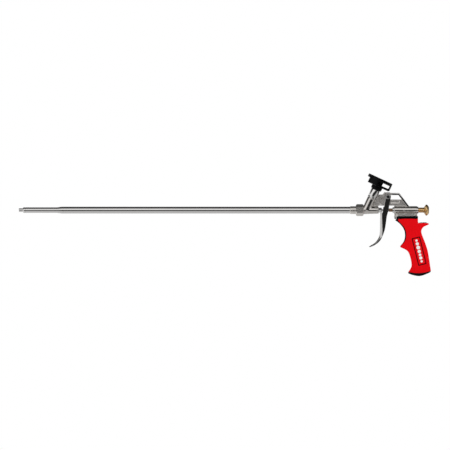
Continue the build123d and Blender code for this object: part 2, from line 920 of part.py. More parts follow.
with BuildPart() as can_adapter:
    # hub under the basket
    with BuildSketch(across_neck(basket_bottom)):
        Circle(hub_r)
    extrude(amount=basket_arm_top - basket_bottom)
    fillet(can_adapter.edges().group_by(Axis(neck_axis.position, neck_direction))[0], hub_round)
    # three arms, each turning up into a leg
    with BuildSketch(across_neck(basket_arm_bottom)):
        with PolarLocations(0, 3):
            with Locations((basket_r / 2, 0)):
                Rectangle(basket_r + 2, 2 * basket_r * sin(radians(leg_angle / 2)))
        Circle(basket_r, mode=Mode.INTERSECT)
    extrude(amount=basket_ring_bottom - basket_arm_bottom)
    outer_rims = can_adapter.edges().filter_by(GeomType.CIRCLE).filter_by(
        lambda e: abs(e.radius - basket_r) < same_radius
        and across_neck(basket_arm_bottom).to_local_coords(e.center()).Z < 0.1
    )
    fillet(outer_rims, leg_shoulder_round)
    # ring that carries the can thread
    with BuildSketch(across_neck(basket_ring_bottom)):
        Circle(basket_r)
    extrude(amount=basket_top - basket_ring_bottom)
    with BuildSketch(across_neck(basket_arm_top)):
        Circle(leg_bore_r)
    extrude(amount=basket_ring_bottom - basket_arm_top, mode=Mode.SUBTRACT)
    with BuildSketch(across_neck(basket_ring_bottom)):
        Circle(can_thread_r)
    extrude(amount=basket_top - basket_ring_bottom, mode=Mode.SUBTRACT)
    top_rim = can_adapter.edges().filter_by(GeomType.CIRCLE).group_by(Axis(neck_axis.position, neck_direction))[-1]
    chamfer(top_rim.sort_by(SortBy.RADIUS)[-1], ring_top_chamfer)
    # central valve tube with a lip that holds the seat ring down
    with BuildSketch(across_neck(basket_arm_top)):
        Circle(basket_tube_r)
    extrude(amount=basket_tube_top - basket_arm_top)
    with BuildSketch(across_neck(basket_bottom)):
        Circle(stem_thread_r + running_gap)
    extrude(amount=stem_top + seat_ring_room - basket_bottom, mode=Mode.SUBTRACT)
    with BuildSketch(across_neck(stem_top)):
        Circle(valve_mouth_r)
    extrude(amount=basket_tube_top - stem_top + 1, mode=Mode.SUBTRACT)
save("can_adapter", can_adapter)

# ---------------------------------------------------------------- grip
front_curve = (
    (-44.4, -8.4),
    (-38.6, -12.2),
    (-33.6, -16.9),
    (-28.9, -22.9),
    (-26.1, -29.6),
    (-25.2, -37.0),
    (-26.0, -44.6),
    (-28.6, -50.8),
    (-34.3, -58.0),
)
nub_tip = ((-34.3, -58.0), (-35.0, -59.8), (-33.4, -61.0))
front_below_nub = (
    (-33.4, -61.0),
    (-27.0, -63.9),
    (-21.4, -67.0),
    (-17.6, -72.4),
    (-14.9, -80.5),
    (-12.8, -91.0),
    (-13.2, -99.4),
    (-18.8, -108.4),
)
base_curve = ((-18.8, -108.4), (-17.2, -112.2), (2.6, -116.6), (22.4, -109.9), (25.0, -105.6))
back_curve = (
    (25.0, -105.6),
    (22.9, -92.0),
    (19.4, -69.8),
    (16.0, -58.0),
    (11.8, -46.4),
    (8.0, -36.9),
    (6.5, -30.4),
    (7.4, -25.6),
    (11.0, -21.2),
    (16.0, -18.6),
    (20.2, -17.0),
)
horn_tip = ((20.2, -17.0), (21.6, -15.4), (19.8, -13.7))
horn_top = ((19.8, -13.7), (11.0, -13.4), (3.2, -14.0))
cap_top = ((-40.0, -100.0), (3.0, -112.0), (46.0, -96.0))
edge_r = 1.5
swell_cheek = ((-30.0, 8.0), (-15.0, 12.5), (0, grip_half_width), (15.0, 12.4), (30.0, 8.8), (46.0, 6.0))
swell_offset = 21.5
swell_start = 8.0
swell_length = 150.0
moulding_edge_min = 45.0
collar_length = 41.7
collar_step = ((0.9, -13.4), (0, -12.0))
pad_edge_rise = 0.4
pad_foot = (-35.4, -60.2)
outside_grip = -70.0
cap_side = 46.0
below_grip = -130.0
grip_plane = side_view(grip_x, grip_z)
swell_plane = Plane(
    origin=(grip_x - swell_offset, 0, grip_z + swell_start),
    x_dir=(cos(tang_lean), 0, sin(tang_lean)),
    z_dir=tang_direction,
)


def grip_swell(inset):
    """Long bar with domed cheeks that leans with the grip; its cheeks lie inset below the finished ones."""
    with BuildPart() as bar:
        with BuildSketch(swell_plane):
            with BuildLine():
                near_cheek = [(u, y - inset) for u, y in swell_cheek]
                far_cheek = [(u, -y) for u, y in reversed(near_cheek)]
                Spline(*near_cheek)
                Line(near_cheek[-1], far_cheek[0])
                Spline(*far_cheek)
                Line(far_cheek[-1], near_cheek[0])
            make_face()
        extrude(amount=swell_length)
    return bar.part


outer_swell = grip_swell(0)

with BuildPart() as grip_form:
    with BuildSketch(grip_plane):
        with BuildLine():
            Line((-collar_length, -collar_height), front_curve[0])
            Spline(*front_curve)
            ThreePointArc(*nub_tip)
            Spline(*front_below_nub)
            Spline(*base_curve)
            Spline(*back_curve)
            ThreePointArc(*horn_tip)
            Spline(*horn_top)
            Polyline(horn_top[-1], *collar_step, (0, -collar_height), (-collar_length, -collar_height))
        make_face()
    extrude(amount=grip_half_width + 2, both=True)
    add(outer_swell, mode=Mode.INTERSECT)
    # round the long edges of the moulding, not the seat of the collar
    moulding_edges = grip_form.edges().filter_by(
        lambda e: abs(e.center().Y) > tang_half_width and e.length > moulding_edge_min
    )
    fillet(moulding_edges, edge_r)

with BuildPart() as pad_region:
    with BuildSketch(grip_plane):
        with BuildLine():
            pad_inner = [(x + pad_thickness, z + pad_edge_rise) for x, z in front_curve[:-1]]
            Spline(*pad_inner, pad_foot)
            Polyline(pad_foot, (outside_grip, pad_foot[1]), (outside_grip, 0), pad_inner[0])
        make_face()
    extrude(amount=grip_half_width + 1, both=True)

with BuildPart() as cap_region:
    with BuildSketch(grip_plane):
        with BuildLine():
            ThreePointArc(*cap_top)
            Polyline(cap_top[2], (cap_side, below_grip), (cap_top[0][0], below_grip), cap_top[0])
        make_face()
    extrude(amount=grip_half_width + 1, both=True)

with BuildPart() as grip_front_pad:
    add(grip_form)
    add(pad_region, mode=Mode.INTERSECT)
    add(gun_frame, mode=Mode.SUBTRACT)
save("grip_front_pad", grip_front_pad)

bolt_seat = 34.0
bolt_head_r = 5.0
bolt_length = 52.0
bolt_head_height = 4.0
bolt_key_r = 2.5
bolt_key_depth = 2.6
bolt_clearance = 0.2
counterbore_r = bolt_head_r + 1.5
drill_length = 60.0
counterbore_length = 30.0
washer_r = bolt_head_r + 1.2
washer_gap = 0.1
washer_thickness = 1.0

with BuildPart() as grip_base_cap:
    add(grip_form)
    add(cap_region, mode=Mode.INTERSECT)
    with BuildSketch(tang_plane.offset(tang_length)):
        Circle(bolt_r + bolt_clearance)
    extrude(amount=drill_length, mode=Mode.SUBTRACT)
    with BuildSketch(tang_plane.offset(tang_length + bolt_seat)):
        Circle(counterbore_r)
    extrude(amount=counterbore_length, mode=Mode.SUBTRACT)
save("grip_base_cap", grip_base_cap)

groove_width = 1.9
recess_corner_r = 1.2
plate_corner_r = 0.8
plate_inset = 0.2
plate_swell = grip_swell(plate_inset)
floor_swell = grip_swell(label_recess)

with BuildPart() as label_recesses:
    with BuildSketch(side_view(label_x, label_z)):
        with Locations(Location((0, 0), label_lean_deg)):
            RectangleRounded(label_width, label_length, recess_corner_r)
    extrude(amount=grip_half_width + 2, both=True)
    add(floor_swell, mode=Mode.SUBTRACT)

with BuildPart() as grip_shell:
    add(grip_form)
    add(pad_region, mode=Mode.SUBTRACT)
    add(cap_region, mode=Mode.SUBTRACT)
    add(tang, mode=Mode.SUBTRACT)
    add(gun_frame, mode=Mode.SUBTRACT)
    with BuildSketch(tang_plane.offset(tang_length - 1)):
        Circle(bolt_r + bolt_clearance)
    extrude(amount=drill_length, mode=Mode.SUBTRACT)
    with BuildSketch(tang_plane.offset(tang_length + bolt_seat)):
        Circle(counterbore_r)
    extrude(amount=counterbore_length, mode=Mode.SUBTRACT)
    # recessed label panels
    add(label_recesses, mode=Mode.SUBTRACT)
save("grip_shell", grip_shell)

for side_name, facing in (("label_plate_left", 1), ("label_plate_right", -1)):
    with BuildPart() as label_plate:
        with BuildSketch(side_view(label_x, label_z)):
            with Locations(Location((0, 0), label_lean_deg)):
                RectangleRounded(label_width - 2 * groove_width, label_length - 2 * groove_width, plate_corner_r)
        extrude(amount=facing * (grip_half_width + 2))
        add(plate_swell, mode=Mode.INTERSECT)
        add(floor_swell, mode=Mode.SUBTRACT)
    save(side_name, label_plate)

# black collar between frame flange and shell
collar_corner_r = 6.0

with BuildPart() as grip_collar:
    with BuildSketch(Plane.XY.offset(grip_z - collar_height)):
        with Locations((grip_x - collar_length / 2, 0)):
            RectangleRounded(collar_length, 2 * collar_half_width, collar_corner_r)
    extrude(amount=collar_height)
    add(gun_frame, mode=Mode.SUBTRACT)
save("grip_collar", grip_collar)

horn_pad_outline = ((2.6, -12.6), (15.0, -12.2), (17.6, -13.0), (17.6, -14.6), (2.6, -14.6))
horn_pad_half_width = 7.5

with BuildPart() as horn_pad:
    with BuildSketch(grip_plane):
        with BuildLine():
            Polyline(*horn_pad_outline, close=True)
        make_face()
    extrude(amount=horn_pad_half_width, both=True)
    add(grip_shell, mode=Mode.SUBTRACT)
save("horn_pad", horn_pad)

with BuildPart() as bolt_washer:
    with BuildSketch(tang_plane.offset(tang_length + bolt_seat)):
        Circle(washer_r)
        Circle(bolt_r + washer_gap, mode=Mode.SUBTRACT)
    extrude(amount=washer_thickness)
save("bolt_washer", bolt_washer)

bolt_head_seat = tang_length + bolt_seat + washer_thickness

with BuildPart() as grip_bolt:
    with BuildSketch(tang_plane.offset(bolt_head_seat)):
        Circle(bolt_head_r)
    extrude(amount=bolt_head_height)
    with BuildSketch(tang_plane.offset(bolt_head_seat)):
        Circle(bolt_r)
    extrude(amount=-bolt_length)
    with BuildSketch(tang_plane.offset(bolt_head_seat + bolt_head_height)):
        RegularPolygon(bolt_key_r, 6, major_radius=False)
    extrude(amount=-bolt_key_depth, mode=Mode.SUBTRACT)
save("grip_bolt", grip_bolt)
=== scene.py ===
# %% [markdown]
# # A long-barrel foam gun
#
# The gun is a bench tool: a can of expanding foam screws into the black basket on top, the trigger draws a
# needle back from its seat at the far tip, and the brass knob at the rear sets how far the needle may
# travel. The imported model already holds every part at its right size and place. This lesson gives those
# parts their finish, and models again, by hand, the ones whose charm is in their rounded edges: castings,
# mouldings and turned parts.

import json
import math

import bpy
from mathutils import Matrix, Vector


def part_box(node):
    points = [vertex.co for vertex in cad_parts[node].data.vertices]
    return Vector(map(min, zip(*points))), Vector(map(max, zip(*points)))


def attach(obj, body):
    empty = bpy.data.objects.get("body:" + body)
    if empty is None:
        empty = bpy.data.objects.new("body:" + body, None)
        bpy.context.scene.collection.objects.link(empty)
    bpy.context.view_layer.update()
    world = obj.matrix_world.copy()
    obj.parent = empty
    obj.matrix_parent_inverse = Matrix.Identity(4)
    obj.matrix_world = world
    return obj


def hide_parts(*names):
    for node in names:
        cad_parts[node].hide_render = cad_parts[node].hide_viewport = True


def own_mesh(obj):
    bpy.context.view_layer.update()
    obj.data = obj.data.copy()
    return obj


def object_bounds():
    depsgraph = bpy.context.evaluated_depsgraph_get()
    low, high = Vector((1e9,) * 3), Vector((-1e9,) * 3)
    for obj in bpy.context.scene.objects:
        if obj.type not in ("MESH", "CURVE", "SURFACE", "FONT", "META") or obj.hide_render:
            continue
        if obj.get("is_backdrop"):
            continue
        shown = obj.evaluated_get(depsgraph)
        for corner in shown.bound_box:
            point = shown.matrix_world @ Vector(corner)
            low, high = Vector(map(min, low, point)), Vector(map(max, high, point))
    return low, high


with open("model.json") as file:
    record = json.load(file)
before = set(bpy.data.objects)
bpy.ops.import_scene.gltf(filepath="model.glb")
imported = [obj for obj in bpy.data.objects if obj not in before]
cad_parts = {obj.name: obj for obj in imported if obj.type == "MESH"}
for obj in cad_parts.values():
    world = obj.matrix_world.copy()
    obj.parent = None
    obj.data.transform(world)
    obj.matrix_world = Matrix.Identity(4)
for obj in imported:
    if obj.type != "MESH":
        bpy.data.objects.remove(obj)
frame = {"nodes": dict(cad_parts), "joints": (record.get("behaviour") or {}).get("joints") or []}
cad_low, cad_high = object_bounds()
nodes = frame["nodes"]
MM = 0.001
print("frame runs from", [round(v, 4) for v in cad_low], "to", [round(v, 4) for v in cad_high])

# %% [markdown]
# ## Where things are
#
# Positions are read from the frame, never guessed again. The trigger's pivot comes from its joint, the
# neck's direction from the inlet valve's joint, and all lengths along the barrel from the boxes of the
# nodes.

# %% landmarks
joints = {joint["name"]: joint for joint in frame["joints"]}
pivot = Vector(joints["trigger_pull"]["pos_m"])
neck_up = -Vector(joints["inlet_valve"]["axis"]).normalized()
ball_low, ball_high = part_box("inlet_ball")
ball_centre = (ball_low + ball_high) / 2
ball_height = ball_centre.z / neck_up.z
neck_root = ball_centre - neck_up * ball_height
print("pivot", tuple(pivot), "neck starts at", tuple(round(v, 5) for v in neck_root))

# %% [markdown]
# ## Bench habits
#
# Every operator works on what is selected, so each helper starts from nothing selected. A finished piece
# has its place in its mesh, and its object sits at the origin, unturned. That is what lets a pattern stay
# put on it.


# %% selecting
def clear():
    """Back to object mode with nothing selected."""
    if bpy.context.object and bpy.context.object.mode != "OBJECT":
        bpy.ops.object.mode_set(mode="OBJECT")
    bpy.ops.object.select_all(action="DESELECT")


def take(piece):
    """Makes one object the only selected and active one."""
    clear()
    piece.select_set(True)
    bpy.context.view_layer.objects.active = piece


def settle(piece):
    """Puts an object's place, turn and size into its mesh."""
    take(piece)
    bpy.ops.object.transform_apply(location=True, rotation=True, scale=True)


def modify(piece, kind, **settings):
    """Adds a modifier, sets it and applies it."""
    take(piece)
    modifier = piece.modifiers.new(kind.lower(), kind)
    for name, value in settings.items():
        setattr(modifier, name, value)
    bpy.ops.object.modifier_apply(modifier=modifier.name)


def round_box(piece, radius, segments):
    """Rounds every edge of a box."""
    take(piece)
    bpy.ops.object.mode_set(mode="EDIT")
    bpy.ops.mesh.select_all(action="SELECT")
    bpy.ops.mesh.bevel(offset=radius * MM, segments=segments)
    bpy.ops.object.mode_set(mode="OBJECT")


def tidy_mesh(piece, distance=0.004 * MM):
    """Merges doubled points and turns every face outwards."""
    take(piece)
    bpy.ops.object.mode_set(mode="EDIT")
    bpy.ops.mesh.select_all(action="SELECT")
    bpy.ops.mesh.remove_doubles(threshold=distance)
    bpy.ops.mesh.normals_make_consistent(inside=False)
    bpy.ops.object.mode_set(mode="OBJECT")


def round_edges(piece, width, segments=3, angle=32):
    """Breaks the sharp edges and shades the rest smooth."""
    modify(
        piece,
        "BEVEL",
        width=width * MM,
        segments=segments,
        limit_method="ANGLE",
        angle_limit=math.radians(angle),
        harden_normals=False,
    )
    take(piece)
    bpy.ops.object.shade_smooth_by_angle(angle=math.radians(38))


# %% [markdown]
# ## Three ways to start a piece
#
# A turned part is a loop of points spun round its axis, as on a lathe. A lever or plate is an outline,
# filled and extruded. A curved outline is drawn through a few points with a smooth curve. In each case the
# primitive is a circle whose points are moved to where the real section has its corners, because that keeps
# the shape in one short list that can be read against a drawing.


# %% loops, spins and outlines
def loop(name, points):
    """A closed loop of edges through the given points, in metres."""
    clear()
    bpy.ops.mesh.primitive_circle_add(vertices=len(points), radius=MM, fill_type="NOTHING")
    piece = bpy.context.object
    piece.name = name
    for corner, place in zip(piece.data.vertices, points):
        corner.co = place
    return piece


def spun(name, profile, steps=72):
    """A turned part: a profile of (along, radius) pairs in millimetres, spun round the X axis.

    The profile is a closed loop, or an open line when it starts and ends on the axis.
    """
    piece = loop(name, [(along * MM, 0, radius * MM) for along, radius in profile])
    take(piece)
    bpy.ops.object.mode_set(mode="EDIT")
    bpy.ops.mesh.select_mode(type="EDGE")
    if profile[0][1] == 0 and profile[-1][1] == 0:
        bpy.ops.mesh.select_all(action="DESELECT")
        bpy.ops.object.mode_set(mode="OBJECT")
        for edge in piece.data.edges:
            edge.select = set(edge.vertices) == {0, len(profile) - 1}
        bpy.ops.object.mode_set(mode="EDIT")
        bpy.ops.mesh.delete(type="EDGE")
    bpy.ops.mesh.select_all(action="SELECT")
    bpy.ops.mesh.spin(steps=steps, angle=math.tau, center=(0, 0, 0), axis=(1, 0, 0))
    bpy.ops.object.mode_set(mode="OBJECT")
    tidy_mesh(piece)
    return piece


def outlined(name, outline, half_width, middle=0.0):
    """A plate from a side outline of (x, z) pairs in millimetres, twice half_width thick about y = middle."""
    piece = loop(name, [(x * MM, (middle - half_width) * MM, z * MM) for x, z in outline])
    take(piece)
    bpy.ops.object.mode_set(mode="EDIT")
    bpy.ops.mesh.select_all(action="SELECT")
    bpy.ops.mesh.edge_face_add()
    bpy.ops.mesh.extrude_region_move(TRANSFORM_OT_translate={"value": (0, 2 * half_width * MM, 0)})
    bpy.ops.object.mode_set(mode="OBJECT")
    tidy_mesh(piece)
    return piece


def onto_neck(piece):
    """Moves a part turned about X, with x as the height up the neck, onto the leaning neck."""
    turn = Vector((1, 0, 0)).rotation_difference(neck_up).to_matrix().to_4x4()
    piece.data.transform(Matrix.Translation(neck_root) @ turn)
    return piece


def curve_through(points, steps=6):
    """More points on a smooth curve through the given ones (Catmull-Rom), ends kept."""

    def between(p, q, r, s, t):
        square = (2 * p - 5 * q + 4 * r - s) * t**2
        cube = (3 * q - p - 3 * r + s) * t**3
        return 0.5 * (2 * q + (r - p) * t + square + cube)

    ends = [points[0], *points, points[-1]]
    made = []
    for a, b, c, d in zip(ends, ends[1:], ends[2:], ends[3:]):
        for step in range(steps):
            made.append(tuple(between(*values, step / steps) for values in zip(a, b, c, d)))
    return [*made, points[-1]]


# %% [markdown]
# ## Cutting and joining
#
# A boolean does on screen what a mill or a mould's core does in the shop, and it also welds solids into one
# casting. The cutter is used up by the cut. The manifold solver is chosen because it keeps closed solids
# closed.


# %% booleans
def cut(piece, *cutters, operation="DIFFERENCE"):
    """Cuts each cutter from the piece, or joins or intersects it, and removes the cutter."""
    for cutter in cutters:
        modify(piece, "BOOLEAN", operation=operation, object=cutter, solver="MANIFOLD")
        bpy.data.objects.remove(cutter)
    return piece


def block(low, high):
    """A box between two corners given in millimetres."""
    clear()
    size = [(b - a) * MM for a, b in zip(low, high)]
    centre = [(a + b) / 2 * MM for a, b in zip(low, high)]
    bpy.ops.mesh.primitive_cube_add(size=1, location=centre, scale=size)
    settle(bpy.context.object)
    return bpy.context.object


def rod(radius, start, end, sides=48):
    """A cylinder between two points given in millimetres."""
    a, b = Vector(start) * MM, Vector(end) * MM
    clear()
    bpy.ops.mesh.primitive_cylinder_add(
        vertices=sides, radius=radius * MM, depth=(b - a).length, location=(a + b) / 2
    )
    piece = bpy.context.object
    piece.rotation_euler = (b - a).to_track_quat("Z", "Y").to_euler()
    settle(piece)
    return piece


# %% [markdown]
# ## Finishes
#
# Each finish is one small node tree. Real metal and plastic are never even: polish has faint streaks,
# sandblasting has grain, and a moulding has a fine skin. A noise on the object's own coordinates, in
# metres, drives roughness and a shallow bump, so that each finish holds at its true scale.


# %% adding a node
def add_node(tree, kind, inputs=None, **settings):
    """A new shader node. Each input is given a value, or is linked when it is given another node's output."""
    made = tree.nodes.new("ShaderNode" + kind)
    for name, value in settings.items():
        setattr(made, name, value)
    for socket, value in (inputs or {}).items():
        if isinstance(value, bpy.types.NodeSocket):
            tree.links.new(value, made.inputs[socket])
        else:
            made.inputs[socket].default_value = value
    return made


# %% how a finish is built
patch_scale = 55.0
polish_share = 0.38
bump_depth = 0.05 * MM


def finish(
    name,
    colour,
    metallic=0.0,
    roughness=(0.3, 0.4),
    grain=1200.0,
    bump=0.1,
    stretch=(1, 1, 1),
    shade=0.06,
    gloss=0.5,
    polish=None,
):
    """A material with uneven roughness, a slightly uneven colour and a shallow bump.

    Grain is in cells a metre. Polish names an attribute that is 1 where the surface is smoother.
    """
    material = bpy.data.materials.new(name)
    material.use_nodes = True
    tree = material.node_tree
    shader = tree.nodes["Principled BSDF"]
    shader.inputs["Metallic"].default_value = metallic
    shader.inputs["Specular IOR Level"].default_value = gloss
    place = add_node(tree, "TexCoord").outputs["Object"]
    spot = add_node(tree, "Mapping", {"Vector": place, "Scale": stretch}).outputs["Vector"]
    fine = add_node(tree, "TexNoise", {"Vector": spot, "Scale": grain, "Detail": 3.0}).outputs["Fac"]
    span = {"Value": fine, "To Min": roughness[0], "To Max": roughness[1]}
    rough = add_node(tree, "MapRange", span).outputs["Result"]
    if polish:
        mask = add_node(tree, "Attribute", attribute_name=polish).outputs["Fac"]
        smoother = add_node(tree, "MapRange", {"Value": mask, "To Min": 1.0, "To Max": polish_share})
        both = {0: rough, 1: smoother.outputs["Result"]}
        rough = add_node(tree, "Math", both, operation="MULTIPLY").outputs["Value"]
    tree.links.new(rough, shader.inputs["Roughness"])
    broad = add_node(tree, "TexNoise", {"Vector": spot, "Scale": patch_scale}).outputs["Fac"]
    tint = add_node(tree, "ValToRGB", {"Fac": broad})
    dark, light = tint.color_ramp.elements
    dark.position, light.position = 0.3, 0.7
    dark.color = (*[max(0.0, c * (1 - shade)) for c in colour], 1)
    light.color = (*[min(1.0, c * (1 + shade)) for c in colour], 1)
    tree.links.new(tint.outputs["Color"], shader.inputs["Base Color"])
    height = add_node(tree, "Bump", {"Height": fine, "Strength": bump, "Distance": bump_depth})
    tree.links.new(height.outputs["Normal"], shader.inputs["Normal"])
    return material


# %% [markdown]
# Nickel appears in four finishes: polished tube, bright plated lever, sandblasted casting and milled nut.
# One material with a different roughness for each would do, but separate ones can also differ in grain, and
# drawn tube has its streaks along its length. Metals take their colour from what they reflect, so each is
# only tinted.

# %% the metals
drawn = (0.1, 1, 1)
drawn_thin = (0.05, 1, 1)
polished = finish(
    "polished_nickel", (0.74, 0.73, 0.72), 1.0, (0.07, 0.14), 260, 0.02, stretch=drawn, shade=0.03
)
plated = finish("plated_casting", (0.55, 0.54, 0.53), 1.0, (0.05, 0.10), 180, 0.01, shade=0.05)
satin = finish(
    "sandblasted_nickel", (0.64, 0.61, 0.58), 1.0, (0.34, 0.46), 1400, 0.12, shade=0.06, polish="polish"
)
milled = finish("milled_nickel", (0.74, 0.71, 0.67), 1.0, (0.26, 0.38), 900, 0.15, shade=0.08)
brass = finish("brass", (0.78, 0.52, 0.24), 1.0, (0.16, 0.28), 400, 0.05, shade=0.08)
bronze = finish("bronze", (0.30, 0.18, 0.11), 1.0, (0.30, 0.45), 700, 0.1, shade=0.12)
steel = finish(
    "drawn_steel", (0.56, 0.56, 0.57), 1.0, (0.18, 0.28), 600, 0.05, stretch=drawn_thin, shade=0.05
)
print("seven metals")

# %% [markdown]
# The plastics are dyed through, so they are one colour with a faint skin. A black part could be made
# lighter to show its form, but a real one is nearly black, so its edges are left to catch the light.

# %% the plastics
red = finish("red_moulding", (0.74, 0.0005, 0.004), 0.0, (0.40, 0.50), 1800, 0.10, shade=0.04, gloss=0.06)
black = finish(
    "black_moulding", (0.002, 0.002, 0.0025), 0.0, (0.24, 0.34), 1400, 0.10, shade=0.2, gloss=0.08
)
rubber = finish("black_rubber", (0.004, 0.004, 0.005), 0.0, (0.50, 0.65), 2200, 0.3, shade=0.2, gloss=0.08)
white = finish("white_polymer", (0.86, 0.86, 0.83), 0.0, (0.40, 0.50), 1200, 0.1, shade=0.02)
print("four plastics")


# %% [markdown]
# ## Dressing a piece
#
# A piece says which body it moves with, which imported nodes it stands for and which finish it takes.


# %% dressing
def dress(piece, material, body="gun", stands_for=()):
    """Gives a finished piece its material and its place in the object."""
    settle(piece)
    piece.data.materials.clear()
    piece.data.materials.append(material)
    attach(piece, body)
    if stands_for:
        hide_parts(*stands_for)
    print(piece.name, len(piece.data.polygons), "faces")
    return piece


# %% [markdown]
# Screws, tubes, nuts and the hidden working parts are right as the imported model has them. They could be
# modelled again, but nothing would be gained, so each keeps its mesh and only gets a finish.

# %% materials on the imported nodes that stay
kept = {
    "nozzle_tube": polished,
    "barrel_tube": polished,
    "barrel_ferrule": brass,
    "barrel_nut": milled,
    "barrel_seal": white,
    "needle_guides": white,
    "needle_tip": brass,
    "needle_rod": steel,
    "needle_sleeve": bronze,
    "spring_seat": steel,
    "spring_seat_nut": steel,
    "gland_packing": white,
    "gland_nut": polished,
    "guide_bush": polished,
    "trigger_screw": polished,
    "trigger_screw_nut": polished,
    "rear_bush": polished,
    "stop_pad": white,
    "stem_washer": white,
    "inlet_ball": steel,
    "valve_seat": white,
    "horn_pad": rubber,
    "label_plate_left": red,
    "label_plate_right": red,
    "grip_bolt": steel,
    "bolt_washer": steel,
}
for name, material in kept.items():
    nodes[name].data.materials.clear()
    nodes[name].data.materials.append(material)
print(len(kept), "packed nodes dressed")

# %% [markdown]
# ## The grip
#
# The real grip is one red moulding with softer black parts let into it. It could be sculpted, or subdivided
# from a cage. Here its side outline is drawn, extruded, and cut by a bar with domed cheeks, because both
# curves can be measured. Remeshing and smoothing then round every edge the way a mould would.

# %% grip outline, in millimetres from the collar's rear upper corner
collar_low, collar_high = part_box("grip_collar")
grip_corner = (collar_high.x / MM, collar_high.z / MM)
front_line = curve_through(
    [(-44.4, -8.4), (-38.6, -12.2), (-33.6, -16.9), (-28.9, -22.9), (-26.1, -29.6)]
    + [(-25.2, -37.0), (-26.0, -44.6), (-28.6, -50.8), (-34.3, -58.0)]
)
heel_line = curve_through(
    [(-33.4, -61.0), (-27.0, -63.9), (-21.4, -67.0), (-17.6, -72.4), (-14.9, -80.5)]
    + [(-12.8, -91.0), (-13.2, -99.4), (-18.8, -108.4)]
)
base_line = curve_through([(-18.8, -108.4), (-17.2, -112.2), (2.6, -116.6), (22.4, -109.9), (25.0, -105.6)])
back_line = curve_through(
    [(25.0, -105.6), (22.9, -92.0), (19.4, -69.8), (16.0, -58.0), (11.8, -46.4), (8.0, -36.9)]
    + [(6.5, -30.4), (7.4, -25.6), (11.0, -21.2), (16.0, -18.6), (20.2, -17.0)]
)
horn_line = [(21.6, -15.4), (19.8, -13.7), (11.0, -13.4), (3.2, -14.0), (0.9, -13.4), (0.0, -12.0)]
seat_line = [(0.0, -5.2), (-41.7, -5.2)]
grip_outline = front_line + [(-35.0, -59.8)] + heel_line + base_line[1:] + back_line[1:]
grip_outline += horn_line + seat_line
print(len(grip_outline), "points round the grip")


# %% [markdown]
# Three habits that the mouldings and castings share: an outline is drawn from a handy corner and moved into
# place, a joined form is remeshed and smoothed so that all its edges go soft at once, and a form that is
# needed three times is copied with a mesh of its own. A bevel would also soften edges, but not where many
# solids meet.


# %% moving an outline and rounding a form
def placed(outline, origin):
    """The outline moved to an origin, all in millimetres."""
    return [(x + origin[0], z + origin[1]) for x, z in outline]


def melt(piece, cell, rounds, strength=0.5):
    """Remeshes a form in even cells and smooths it, so that every edge becomes a soft one."""
    modify(piece, "REMESH", mode="VOXEL", voxel_size=cell * MM)
    modify(piece, "SMOOTH", factor=strength, iterations=rounds)
    take(piece)
    bpy.ops.object.shade_smooth()
    return piece


def twin(piece, name):
    """A copy with its own mesh."""
    take(piece)
    bpy.ops.object.duplicate()
    copy = bpy.context.object
    copy.name = name
    return copy


# %% [markdown]
# In the hand the grip is an oval, widest in the middle. Its sides could be pushed out point by point. A
# long bar with that oval section is quicker, and the same bar, a little thinner, later gives the label
# recess its curved floor.

# %% domed cheeks
grip_lean = math.radians(13)
cheek = curve_through([(-30, 8.0), (-15, 12.5), (0, 14.0), (15, 12.4), (30, 8.8), (46, 6.0)], steps=4)


def cheeks(name, inset):
    """A long bar with domed sides that leans with the grip, its sides inset by so many millimetres."""
    ring = [(u, y - inset) for u, y in cheek] + [(u, inset - y) for u, y in reversed(cheek)]
    across = Vector((math.cos(grip_lean), 0, math.sin(grip_lean)))
    down = Vector((math.sin(grip_lean), 0, -math.cos(grip_lean)))
    start = Vector((grip_corner[0] - 21.5, 0, grip_corner[1] + 8))
    piece = loop(name, [(start + across * u + Vector((0, y, 0))) * MM for u, y in ring])
    take(piece)
    bpy.ops.object.mode_set(mode="EDIT")
    bpy.ops.mesh.select_all(action="SELECT")
    bpy.ops.mesh.edge_face_add()
    bpy.ops.mesh.extrude_region_move(TRANSFORM_OT_translate={"value": down * 150 * MM})
    bpy.ops.object.mode_set(mode="OBJECT")
    tidy_mesh(piece)
    return piece


print("grip is", 2 * max(y for u, y in cheek), "mm across the cheeks")

# %% [markdown]
# The red shell, the black pad in front and the black cap below share one surface on the real grip. So the
# whole form is made first, and the three parts are cut from copies of it, which makes their joints meet
# exactly.

# %% the whole grip form, then its three parts
form = outlined("grip_form", placed(grip_outline, grip_corner), 16)
cut(form, cheeks("cheeks", 0.0), operation="INTERSECT")
melt(form, 0.8, 8)
print("grip form", len(form.data.polygons), "faces")

pad_line = [(-38.4, -9.0)] + [(x + 2.5, z + 0.5) for x, z in front_line[:-6] if z < -12.1]
pad_region = placed([*pad_line, (-35.4, -60.2), (-70, -60.2), (-70, -1), (-38.4, -1)], grip_corner)
cap_edge = curve_through([(-40, -98.8), (-18, -108.3), (3, -110.8), (25, -106.3), (46, -94.8)], steps=4)
cap_region = placed([*cap_edge, (46, -130), (-40, -130)], grip_corner)

shell = twin(form, "red_grip")
cut(shell, outlined("pad_cutter", pad_region, 18), outlined("cap_cutter", cap_region, 18))
front_pad = twin(form, "front_pad")
cut(front_pad, outlined("pad_keeper", pad_region, 18), operation="INTERSECT")
base_cap = twin(form, "base_cap")
cut(base_cap, outlined("cap_keeper", cap_region, 18), operation="INTERSECT")
bpy.data.objects.remove(form)

# %% [markdown]
# The label sits in a shallow recess on each cheek. The recess is cut by a rounded panel that stops at an
# inner pair of cheeks, so its floor follows the dome.

# %% label recess
label_low, label_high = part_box("label_plate_left")
label_centre = (label_low + label_high) / 2
label_lean = math.radians(13.9)


